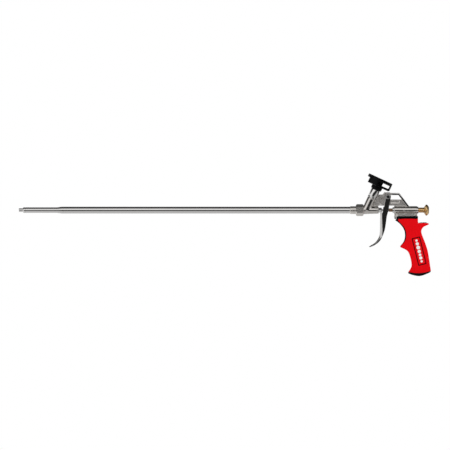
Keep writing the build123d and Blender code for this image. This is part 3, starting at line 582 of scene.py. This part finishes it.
def panel(name, width, length, corner):
    """A rounded upright panel through the grip, leaning with the label."""
    piece = block((-width / 2, -17, -length / 2), (width / 2, 17, length / 2))
    piece.name = name
    take(piece)
    bpy.ops.object.mode_set(mode="EDIT")
    bpy.ops.mesh.select_mode(type="EDGE")
    bpy.ops.mesh.select_all(action="DESELECT")
    bpy.ops.object.mode_set(mode="OBJECT")
    for edge in piece.data.edges:
        a, b = (piece.data.vertices[i].co for i in edge.vertices)
        edge.select = abs(a.y - b.y) > 10 * MM
    bpy.ops.object.mode_set(mode="EDIT")
    bpy.ops.mesh.bevel(offset=corner * MM, segments=4)
    bpy.ops.object.mode_set(mode="OBJECT")
    centre = Vector((label_centre.x, 0, label_centre.z))
    piece.data.transform(Matrix.Translation(centre) @ Matrix.Rotation(-label_lean, 4, "Y"))
    return piece


recess = panel("label_recess", 16.7, 55.0, 1.6)
cut(recess, cheeks("recess_floor", 1.0))
cut(shell, recess)
round_edges(base_cap, 0.35, 2)
round_edges(front_pad, 0.3, 2)
take(shell)
bpy.ops.object.shade_smooth_by_angle(angle=math.radians(40))

# A thin black frame lies on the floor of each recess, round the label plate. It is painted shade, standing in
# for the shadow in the groove at the recess's edge.
recess_shade = panel("painted_recess_shade", 16.4, 54.7, 1.4)
cut(recess_shade, panel("label_hole", 13.3, 51.6, 0.9), cheeks("recess_shade_floor", 1.0))
cut(recess_shade, cheeks("recess_shade_skin", 0.35), operation="INTERSECT")
dress(recess_shade, black)
dress(shell, red, stands_for=["grip_shell"])
dress(front_pad, rubber, stands_for=["grip_front_pad"])
dress(base_cap, rubber, stands_for=["grip_base_cap"])

# %% [markdown]
# Each label carries a plain motif: a row of white bubbles, large and small, like the foam the gun lays
# down. They could be painted on, but thin discs give a crisp edge from every side. Each starts as a
# cylinder and has its rim rounded.

# %% bubbles
bubble_row = ((-21, 2.2), (-14.6, 3.1), (-7.2, 3.6), (0.6, 3.2), (7.4, 2.6), (13.6, 3.1), (20.4, 2.3))


def bubbles(name, side):
    """A row of thin discs standing just proud of one label plate."""
    discs = []
    for along, radius in bubble_row:
        clear()
        bpy.ops.mesh.primitive_cylinder_add(vertices=32, radius=radius * MM, depth=0.5 * MM)
        disc = bpy.context.object
        disc.rotation_euler = (math.pi / 2, 0, 0)
        lean = Matrix.Rotation(-label_lean, 3, "Y")
        offset = lean @ Vector((0, 0, -along * MM))
        disc.location = Vector((label_centre.x, side * 13.62 * MM, label_centre.z)) + offset
        settle(disc)
        round_edges(disc, 0.1, 2)
        discs.append(disc)
    clear()
    for disc in discs:
        disc.select_set(True)
    bpy.context.view_layer.objects.active = discs[0]
    bpy.ops.object.join()
    discs[0].name = name
    return discs[0]


dress(bubbles("bubbles_left", -1), white)
dress(bubbles("bubbles_right", 1), white)

# %% [markdown]
# ## The collar
#
# A black collar parts the metal from the red. It is a box with every edge rounded and then broken once more,
# so that it catches a thin line of light. The bevel is wider than the box is high, so the rounds run into
# each other and leave the outer edge thin. Rounding only the four upright edges would keep the edge at its
# full height.

# %% collar
collar = block([v / MM for v in collar_low], [v / MM for v in collar_high])
collar.name = "collar"
round_box(collar, 6, 8)
round_edges(collar, 0.8, 3)
dress(collar, black, stands_for=["grip_collar"])

# %% [markdown]
# ## The trigger
#
# A cast lever with a long curved finger blade. It straddles the web at the top and has a saddle that pushes
# on the bronze sleeve. The front of the blade is rounded for the fingers, so it is built as a stack of
# plates, each a little wider and set further back than the last, and remeshing then smooths the steps away.

# %% trigger outline, in millimetres from its pivot
pivot_mm = (pivot.x / MM, pivot.z / MM)
blade_front = curve_through(
    [(-15.0, -31.2), (-15.4, -46.0), (-15.6, -64.0), (-17.4, -77.4), (-24.6, -88.4), (-35.6, -95.6)]
)
blade_rear = curve_through(
    [(-35.2, -97.8), (-23.4, -92.4), (-13.6, -81.6), (-7.2, -67.6), (-4.3, -53.6), (-2.2, -38.0)]
    + [(0.6, -27.4), (3.4, -12.0), (5.3, -2.4)]
)
head = [(5.9 * math.cos(a), 5.9 * math.sin(a)) for a in (math.radians(d) for d in range(0, 181, 15))]
throat = [(-4.7, -2.6), (-7.2, -17.0), (-9.0, -26.0), (-11.4, -30.2)]
print("trigger", len(blade_front) + len(blade_rear), "points along the blade")

# %% [markdown]
# The narrowest plate reaches furthest forward, and the wider ones step back along a quarter circle. The
# setback grows down the blade, up to a limit, so the round is broader where the fingers pull.

# %% the stack of plates
half_width = 7.2
rail_round = 5.0
blade_top = -31
layers = 8
lever = None
for layer in range(layers):
    plate_half = half_width - rail_round + rail_round * math.sin(math.pi / 2 * (layer + 0.5) / layers)
    setback = rail_round * (1 - math.cos(math.pi / 2 * layer / layers))
    front = [(x + setback * min(1.6, 0.8 + max(0.0, blade_top - z) / 50), z) for x, z in blade_front]
    plate_line = [*front, (-37.0 + setback, -97.0), *blade_rear, *head, *throat]
    plate = outlined("plate", placed(plate_line, pivot_mm), plate_half)
    lever = cut(plate, lever, operation="UNION") if lever else plate
lever.name = "trigger_cast"
print("trigger stack", len(lever.data.polygons), "faces")

# %% [markdown]
# The saddle is a cross bar that rolls on the bronze sleeve. One slot lets the lever straddle the web, and a
# narrower one lets the needle through. They are cut square, as a cutter would, and then softened with the
# rest.

# %% the trigger's saddle, step and slots
saddle_r = 7.0
saddle_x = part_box("needle_sleeve")[0].x / MM - saddle_r - 0.15
cut(lever, rod(saddle_r, (saddle_x, -half_width, 0), (saddle_x, half_width, 0)), operation="UNION")
step_line = [(-11.4, -34.0), (-9.0, -18.0), (-24.0, -18.0), (-24.0, -31.2), (-11.4, -31.2)]
cut(lever, outlined("front_step", placed(step_line, pivot_mm), 9))
web_slot = [(-30, 12), (12, 12), (12, -19.6), (-4.6, -19.6), (-4.6, -31.0), (-30, -31.0)]
needle_slot = [(-12, -15), (12, -15), (12, -29.6), (-12, -29.6)]
cut(lever, outlined("web_slot", placed(web_slot, pivot_mm), 3.2))
cut(lever, outlined("needle_slot", placed(needle_slot, pivot_mm), 2.3))


def pivot_hole(radius):
    """A drill through the pivot, right across the gun."""
    return rod(radius, (pivot_mm[0], -9, pivot_mm[1]), (pivot_mm[0], 9, pivot_mm[1]))


cut(lever, pivot_hole(2.55))
melt(lever, 0.42, 6)
dress(lever, plated, "trigger_lever", stands_for=["trigger"])

# %% [markdown]
# ## The cast frame
#
# Barrel boss, leaning neck, web with its window, spring housing and foot are one casting, so they are
# joined as solids and then melted together. The small fillets where they meet are what makes it look cast.
# The bridge over the window has polished, crisp edges, so it is a piece of its own.

# %% frame solids
boss_line = [(660, 2.4), (660, 7.45), (668.9, 7.45), (668.9, 7.8), (697.4, 6.8), (698, 6.2), (698, 4.55)]
boss = spun("cast_frame", [*boss_line, (686, 4.55), (686, 2.4)])
neck_line = [(0, 1.0), (0, 8.4), (24.4, 8.4), (25.2, 7.6), (25.2, 6.1), (15, 6.1), (15, 1.0)]
neck = onto_neck(spun("neck", neck_line))
housing_line = [(728, 4.6), (728, 7.0), (728.6, 7.6), (747.4, 7.6), (747.4, 8.0), (749.6, 8.0), (749.6, 7.6)]
housing_line += [(772.6, 7.6), (773, 7.2), (773, 5.6), (733, 5.6), (733, 4.6)]
housing = spun("housing", housing_line)
print("three turned solids of the frame")

# %% [markdown]
# The web is the thin wall that carries the pivot. Its window is where the gun hangs on a hook, and its sunk
# panels save metal. They could be a bump, but a sunk panel has a real edge that catches the light, so it is
# cut.

# %% the web, with its window and sunk panels
web_outline = [(-42.2, -25.8), (-19.2, -25.8), (-19.2, -17.1), (12.3, -17.1), (12.3, -22.0)]
web_outline += [(40.4, -22.0), (40.4, -18.7), (21.5, 6.7), (9.5, 6.7), (8.5, 7.6), (4.9, 7.6), (3.7, 8.7)]
web_outline += [(-7.7, 8.7), (-10.1, 4.5), (-18.2, 4.5)]
web = outlined("web", placed(web_outline, pivot_mm), 2.6)
window = [(4.9, 3.3), (8.2, 3.3), (8.8, 3.9), (20.7, 3.9), (27.6, -5.2), (4.9, -5.2)]
cut(web, outlined("window", placed(window, pivot_mm), 4))
panel_line = [(-34.0, -18.5), (-27.5, -9.0), (-18.0, -11.2), (-12.5, -14.6), (-19.5, -18.5)]
bridge_panel = [(5.5, -12.2), (5.5, -7.0), (22.5, -7.0), (22.5, -12.2)]
for side in (-1, 1):
    for sunk in (panel_line, bridge_panel):
        cut(web, outlined("panel", placed(sunk, pivot_mm), 0.35, middle=side * 2.25))
bridge = [(7.9, 7.6), (22.0, 7.6), (41.4, -18.7), (36.8, -18.7), (20.2, 3.3), (7.9, 3.3)]
brace = [(-20.0, 4.5), (-11.0, 4.5), (-9.4, -1.0), (-17.0, -8.6), (-26.5, -6.0)]
bridge_bar = outlined("bridge_bar", placed(bridge, pivot_mm), 4.2)
brace_rib = outlined("brace", placed(brace, pivot_mm), 4.2)
print("web", len(web.data.polygons), "faces")

# %% [markdown]
# Under the spring housing a narrow foot widens to a flange that sits on the collar, and a lip hooks down in
# front to stop the hand. Each is a plain block or outline now, because the melting that follows gives the
# fillets.

# %% foot, flange and lip
foot = outlined("foot", [(730.8, -3.0), (772.1, -3.0), (772.1, -11.0), (730.8, -11.0)], 5.5)
round_edges(foot, 1.0, 2)
flange = block((730.8, -12.0, -12.6), (772.9, 12.0, -8.25))
round_box(flange, 5.9, 8)
lip_line = [(728.7, -8.4), (734.8, -8.4), (734.8, -11.4), (732.3, -11.4), (732.3, -17.2), (728.5, -17.2)]
lip = outlined("lip", [*lip_line, (727.9, -12.4)], 6.5)
print("foot, flange and lip ready")

# %% [markdown]
# All the solids are welded and the bores are cut last, so that no solid fills a bore again. Then the whole
# is melted once.

# %% one casting
spring_hollow = rod(5.6, (733, 0, 0), (774, 0, 0))
stem_room = onto_neck(spun("stem_room", [(25.2, 0), (25.2, 9.0), (50, 9.0), (50, 0)]))
nut_room = spun("nut_room", [(659, 7.45), (659, 20), (668.9, 20), (668.9, 7.45)])
cast = cut(boss, neck, web, brace_rib, housing, foot, flange, lip, operation="UNION")
cut(cast, spring_hollow, stem_room, nut_room, pivot_hole(2.45))
print("frame before melting", len(cast.data.polygons), "faces")
melt(cast, 0.6, 3)


# %% [markdown]
# The casting is sandblasted, but its round parts are polished afterwards. Painting that by hand would be
# lost each time the mesh changes, so the polish is an attribute, written by measuring each point's distance
# from an axis.


# %% where the casting is polished
def polish_mask(piece, *barrels, slack=0.25):
    """Writes 1 at each point on one of the turned surfaces: a start, a direction, a radius and a length."""
    mask = piece.data.attributes.new("polish", "FLOAT", "POINT")
    for index, corner in enumerate(piece.data.vertices):
        for start, direction, radius, length in barrels:
            along = (corner.co - start).dot(direction)
            reach = (corner.co - start - direction * along).length
            if 0 < along < length * MM and abs(reach - radius * MM) < slack * MM:
                mask.data[index].value = 1.0


ahead = Vector((1, 0, 0))
polish_mask(
    cast,
    (Vector((668.9 * MM, 0, 0)), ahead, 7.3, 30),
    (neck_root, neck_up, 8.4, 26),
    (Vector((728 * MM, 0, 0)), ahead, 7.6, 46),
    slack=0.4,
)
round_edges(bridge_bar, 0.5, 3)
dress(cast, satin, stands_for=["gun_frame"])
dress(bridge_bar, plated)

# %% [markdown]
# ## The can adapter
#
# A black moulding: a hub screwed on the stem, three legs that turn up, and a ring with a coarse thread that
# takes the collar of the can. The ring, hub and tube are turned. Each leg is an outline, cut round by a
# turned limit. The flutes round the hub are what the fingers grip to screw it home.

# %% adapter
ring_line = [(61.0, 20.5), (61.0, 24.2), (62.0, 25.18), (66.3, 25.18), (67.28, 24.4), (67.28, 21.3)]
thread_grooves = [(66.7, 20.5), (66.2, 20.5), (65.7, 21.2), (65.1, 21.2), (64.6, 20.5)]
thread_grooves += [(64.1, 20.5), (63.6, 21.2), (63.0, 21.2), (62.5, 20.5)]
ring = spun("can_ring", ring_line + thread_grooves, steps=120)
hub = spun("hub", [(43.5, 7.0), (43.5, 8.6), (44.4, 10.2), (46.0, 10.8), (55.2, 10.8), (55.2, 7.0)], steps=72)
hub_grip = []
flutes = 12
for number in range(flutes):
    turn = number * math.tau / flutes
    centre_y, centre_z = 11.5 * math.cos(turn), 11.5 * math.sin(turn)
    hub_grip.append(rod(1.3, (43.0, centre_y, centre_z), (50.2, centre_y, centre_z), sides=16))
cut(hub, *hub_grip)
tube_line = [(50.0, 4.9), (50.0, 7.6), (60.8, 8.1), (61.6, 7.4), (61.6, 4.2), (57.4, 4.2), (57.4, 4.9)]
adapter = cut(ring, hub, spun("valve_tube", tube_line), operation="UNION")
print("ring, hub and tube", len(adapter.data.polygons), "faces")

# %% [markdown]
# The legs are one outline used three times, each on its own mesh, turned by a third of a circle. Cutting
# them with a turned limit makes their outer faces follow the ring.

# %% the three legs
leg_line = [(7.2, 50.8), (22.6, 50.8), (24.4, 51.6), (25.2, 53.4), (25.2, 62.0), (21.5, 62.0), (21.5, 56.4)]
leg_line += [(20.3, 55.2), (7.2, 55.2)]
for number in range(3):
    leg = outlined("leg", [(z, -x) for x, z in leg_line], 10.5)
    limit = spun("leg_limit", [(50.0, 7.1), (50.0, 25.18), (62.5, 25.18), (62.5, 7.1)], steps=120)
    turned = Matrix.Rotation(math.radians(120 * number), 4, "X")
    leg.data.transform(turned)
    cut(leg, limit, operation="INTERSECT")
    cut(adapter, leg, operation="UNION")
onto_neck(adapter)
adapter.name = "adapter"
round_edges(adapter, 0.45, 2, angle=40)
dress(adapter, black, stands_for=["can_adapter"])

# %% [markdown]
# ## Turned parts
#
# The brass knob is a mushroom with a milled rim, and its stem carries a fine thread. The stem of the inlet
# has a step and a groove, and the tip a stepped nose. All are spun from their half profiles. The knob's
# thread is a row of plain rings, because at this size a true helix can't be told from it.

# %% adjusting screw
thread = []
thread_start = 770.4
pitch = 1.0
crest_r, root_r = 5.0, 4.72
for turn in range(14):
    start = thread_start + turn * pitch
    thread += [(start, crest_r), (start + 0.28, root_r), (start + 0.56, crest_r)]
knob_line = [(785.0, 4.9), (786.6, 6.0), (787.4, 7.7), (789.0, 9.7), (789.4, 10.5)]
knob_line += [(789.8, 10.7), (791.5, 10.7)]
dome = curve_through([(791.9, 10.5), (793.6, 9.0), (795.0, 6.9), (795.8, 4.6)], steps=4)
shank_line = [(761.6, 0.0), (761.6, 3.0), (762.2, 3.6), (769.5, 3.6), (769.5, 4.6)]
dimple_line = [(795.8, 2.2), (795.4, 1.9), (795.4, 0.0)]
rim_steps = 96
rim_r = 10.6
notch = 0.972
screw = spun("knob", [*shank_line, *thread, *knob_line, *dome, *dimple_line], steps=rim_steps)
for corner in screw.data.vertices:
    reach = math.hypot(corner.co.y, corner.co.z)
    tooth = round(math.atan2(corner.co.z, corner.co.y) / math.tau * rim_steps) % 2
    if reach > rim_r * MM and tooth:
        corner.co.y *= notch
        corner.co.z *= notch
round_edges(screw, 0.12, 2, angle=50)
dress(screw, brass, "adjuster", stands_for=["adjusting_screw"])

# %% [markdown]
# The stem screws into the neck and carries the can. Only the part above the neck shows, with a chamfer at
# each end and a groove. It could be a few cylinders, but one spun profile keeps them a single closed part.

# %% inlet stem
stem_line = [(15.1, 3.0), (15.1, 5.9), (25.2, 5.9), (25.2, 8.2), (25.8, 8.7), (28.0, 8.7), (28.3, 8.3)]
stem_line += [(28.9, 8.3), (29.2, 8.7), (42.6, 8.7), (43.4, 8.0), (43.4, 6.9), (57.0, 6.9)]
stem_line += [(57.0, 4.9), (30.0, 4.9), (30.0, 3.0)]
stem = onto_neck(spun("stem", stem_line))
round_edges(stem, 0.12, 2, angle=40)
dress(stem, polished, stands_for=["inlet_stem"])

# %% [markdown]
# The tip is the last turned part. A small land in front of a larger shoulder gives the nose that goes into
# a gap.

# %% nozzle tip
tip_line = [(0.0, 2.4), (0.0, 3.0), (0.4, 3.4), (8.0, 3.4), (8.0, 4.2), (9.2, 5.3), (12.6, 5.3), (13.0, 4.9)]
tip_line += [(13.0, 4.15), (21.9, 4.15), (21.9, 3.1), (4.6, 3.1), (3.0, 2.4)]
tip = spun("tip", tip_line)
round_edges(tip, 0.12, 2, angle=40)
dress(tip, polished, stands_for=["nozzle_tip"])

# %% [markdown]
# ## The springs
#
# Both coils close up when the gun works: one when the trigger is pulled, the other when the ball leaves its
# seat. A coil could be a screw modifier on a small ring. Here a torus is unrolled along its axis, which
# gives a closed mesh with few faces.


# %% how a coil is made
def coil(name, wire, radius, turns, start, height):
    """A coil along X: a small ring of points screwed round the axis."""
    sides = 8
    steps = 24 * turns
    clear()
    bpy.ops.mesh.primitive_torus_add(
        major_segments=steps, minor_segments=sides, major_radius=radius * MM, minor_radius=wire * MM
    )
    piece = bpy.context.object
    piece.name = name
    for index, corner in enumerate(piece.data.vertices):
        ring_index, side_index = divmod(index, sides)
        turn = ring_index / (steps - 1)
        around = turn * turns * math.tau
        section = side_index / sides * math.tau
        reach = (radius + wire * math.cos(section)) * MM
        along = start + wire + turn * (height - 2 * wire) + wire * math.sin(section)
        corner.co = (along * MM, reach * math.cos(around), reach * math.sin(around))
    take(piece)
    bpy.ops.object.mode_set(mode="EDIT")
    bpy.ops.mesh.select_mode(type="FACE")
    bpy.ops.mesh.select_all(action="DESELECT")
    bpy.ops.object.mode_set(mode="OBJECT")
    for face in piece.data.polygons:
        rings = {index // sides for index in face.vertices}
        face.select = rings == {0, steps - 1}
    bpy.ops.object.mode_set(mode="EDIT")
    bpy.ops.mesh.delete(type="ONLY_FACE")
    bpy.ops.mesh.select_mode(type="EDGE")
    bpy.ops.mesh.select_all(action="DESELECT")
    bpy.ops.mesh.select_non_manifold()
    bpy.ops.mesh.edge_face_add()
    bpy.ops.object.mode_set(mode="OBJECT")
    tidy_mesh(piece)
    take(piece)
    bpy.ops.object.shade_smooth_by_angle(angle=math.radians(60))
    return piece


# %% [markdown]
# The return spring runs from the needle's seat to the rear of its housing. Its size is read from the box of
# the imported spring, and its rear end is the one that stays put.

# %% the spring behind the trigger
spring_low, spring_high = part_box("return_spring")
spring = coil("return_coil", 0.6, 4.7, 7, spring_low.x / MM, (spring_high.x - spring_low.x) / MM)
dress(spring, steel, stands_for=["return_spring"])
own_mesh(spring)

# %% [markdown]
# The other coil leans with the neck, so a box can't tell its length. Its ends are found by measuring the
# packed spring's points along the neck.

# %% the spring under the ball
heights = [(corner.co - neck_root).dot(neck_up) / MM for corner in nodes["inlet_spring"].data.vertices]
foot_height, head_height = min(heights), max(heights)
lift = coil("inlet_coil", 0.45, 3.3, 6, foot_height, head_height - foot_height)
dress(onto_neck(lift), steel, stands_for=["inlet_spring"])
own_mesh(lift)

# %% [markdown]
# ## Light, floor and camera
#
# The gun is shown from its side, level, on white. Polished tubes show what is round them, so the sky does
# most of the work, and only reflections see its bands. It is dark level with the camera, which draws the
# dark line down the middle of the tube, bright a little above that, dark overhead and behind, which draws
# the upper edge, and mid-grey below. Everything else sees plain white, so the floor stays pale and the
# colours stay true.


# %% the bands of the sky
sky_bands = (
    (-180, 0.25),
    (-140, 0.60),
    (-100, 0.66),
    (-36, 0.54),
    (-27, 0.40),
    (-21, 0.03),
    (6, 0.02),
    (11, 0.70),
    (16, 1.10),
    (44, 1.05),
    (56, 0.12),
    (75, 0.05),
    (150, 0.06),
    (180, 0.25),
)
print(len(sky_bands), "levels round the gun, by degrees above the camera's level")

# %% [markdown]
# The bands run along the gun, so the direction is first turned into an angle round the barrel. A bright
# panel is added on the nozzle side, low down, for the surfaces that face forwards, such as the front of the
# trigger.


# %% a studio sky
def studio_sky(bands):
    """A world that is plain white, and banded in reflections."""
    world = bpy.data.worlds.new("studio")
    bpy.context.scene.world = world
    world.use_nodes = True
    tree = world.node_tree
    tree.nodes.clear()
    direction = add_node(tree, "TexCoord").outputs["Generated"]
    split = add_node(tree, "SeparateXYZ", {"Vector": direction}).outputs
    ahead_y = add_node(tree, "Math", {0: split["Y"], 1: -1.0}, operation="MULTIPLY").outputs["Value"]
    angle = add_node(tree, "Math", {0: split["Z"], 1: ahead_y}, operation="ARCTAN2").outputs["Value"]
    whole_turn = {"Value": angle, "From Min": -math.pi, "From Max": math.pi}
    share = add_node(tree, "MapRange", whole_turn).outputs["Result"]
    banded = add_node(tree, "ValToRGB", {"Fac": share})
    stops = banded.color_ramp.elements
    while len(stops) < len(bands):
        stops.new(0.5)
    for stop, (degrees, level) in zip(stops, bands):
        stop.position = (degrees + 180) / 360
        stop.color = (level, level, level, 1)
    smooth = {"interpolation_type": "SMOOTHSTEP"}
    nozzle_side = {"Value": split["X"], "From Min": -0.30, "From Max": -0.62}
    low_down = {"Value": split["Z"], "From Min": 0.40, "From Max": 0.18}
    nozzle_share = add_node(tree, "MapRange", nozzle_side, **smooth).outputs["Result"]
    low_share = add_node(tree, "MapRange", low_down, **smooth).outputs["Result"]
    panel = add_node(tree, "Math", {0: nozzle_share, 1: low_share}, operation="MULTIPLY").outputs["Value"]
    lit = {"Fac": panel, "Color1": banded.outputs["Color"], "Color2": (1, 1, 1, 1)}
    reflected = add_node(tree, "MixRGB", lit).outputs["Color"]
    in_metal = add_node(tree, "Background", {"Color": reflected}).outputs["Background"]
    plain = add_node(tree, "Background", {"Color": (1, 1, 1, 1)}).outputs["Background"]
    shiny = add_node(tree, "LightPath").outputs["Is Glossy Ray"]
    choice = add_node(tree, "MixShader", {0: shiny, 1: plain, 2: in_metal})
    add_node(tree, "OutputWorld", {"Surface": choice.outputs["Shader"]})
    return world


print("sky made:", studio_sky(sky_bands).name)


# %% [markdown]
# The sky gives most of the light. Three large soft lamps add a little shape, the way studio boxes do. They
# are kept out of reflections, because a square lamp mirrored in the tube would break its long clean lines.


# %% lamps
def soft_box(name, place, aim, size, power, colour=(1, 1, 1)):
    """A large square lamp that faces a point."""
    clear()
    bpy.ops.object.light_add(type="AREA", location=place)
    lamp = bpy.context.object
    lamp.name = name
    lamp.data.size = size
    lamp.data.energy = power
    lamp.data.color = colour
    lamp.visible_glossy = False
    lamp.rotation_euler = (Vector(aim) - Vector(place)).to_track_quat("-Z", "Y").to_euler()
    return lamp


centre = (cad_low + cad_high) / 2
soft_box("overhead", (centre.x, -0.6, 1.5), centre, 1.6, 1.5)
soft_box("left_front", (centre.x - 1.3, -1.3, 0.7), centre, 1.0, 1.5)
soft_box("right_front", (centre.x + 1.5, -1.2, 0.3), centre, 0.8, 0.5, (1.0, 0.95, 0.88))
print("three lamps round", tuple(round(v, 3) for v in centre))

# %% [markdown]
# The gun stands on a plain pale floor that touches the base of its grip. A curved backdrop would hide the
# far edge, but the floor is wide enough that its edge is never in view.

# %% floor
clear()
floor_size = 12.0
bpy.ops.mesh.primitive_plane_add(size=floor_size, location=(centre.x, 0, cad_low.z))
floor = bpy.context.object
floor.name = "floor"
settle(floor)
floor_finish = finish("pale_floor", (0.90, 0.90, 0.89), 0.0, (0.6, 0.7), 40, 0.02, shade=0.01)
floor.data.materials.append(floor_finish)
floor.visible_glossy = False
floor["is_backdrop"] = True
print("floor", floor_size, "m wide at", round(cad_low.z, 4))

# %% [markdown]
# A flat, level view with no perspective suits a long straight tool, because the barrel keeps its thickness
# from end to end. The camera looks square at the gun's side.

# %% camera
frame_width = 873 * MM
view_centre = Vector((400 * MM, 0, -28.9 * MM))
clear()
bpy.ops.object.camera_add(location=view_centre + Vector((0, -3, 0)), rotation=(math.pi / 2, 0, 0))
camera = bpy.context.object
camera.data.type = "ORTHO"
camera.data.ortho_scale = frame_width
bpy.context.scene.camera = camera
bpy.context.scene.view_settings.view_transform = "Standard"
print("camera frames", frame_width, "m")

# %% [markdown]
# ## Sizes at the end
#
# The imported box and the finished box are written side by side, so that a piece that has grown is seen at
# once.

# %% sizes and finish
low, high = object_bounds()
for end, made, packed in (("low", low, cad_low), ("high", high, cad_high)):
    print(end, "end grown by", [round((a - b) / MM, 2) for a, b in zip(made, packed)], "mm")
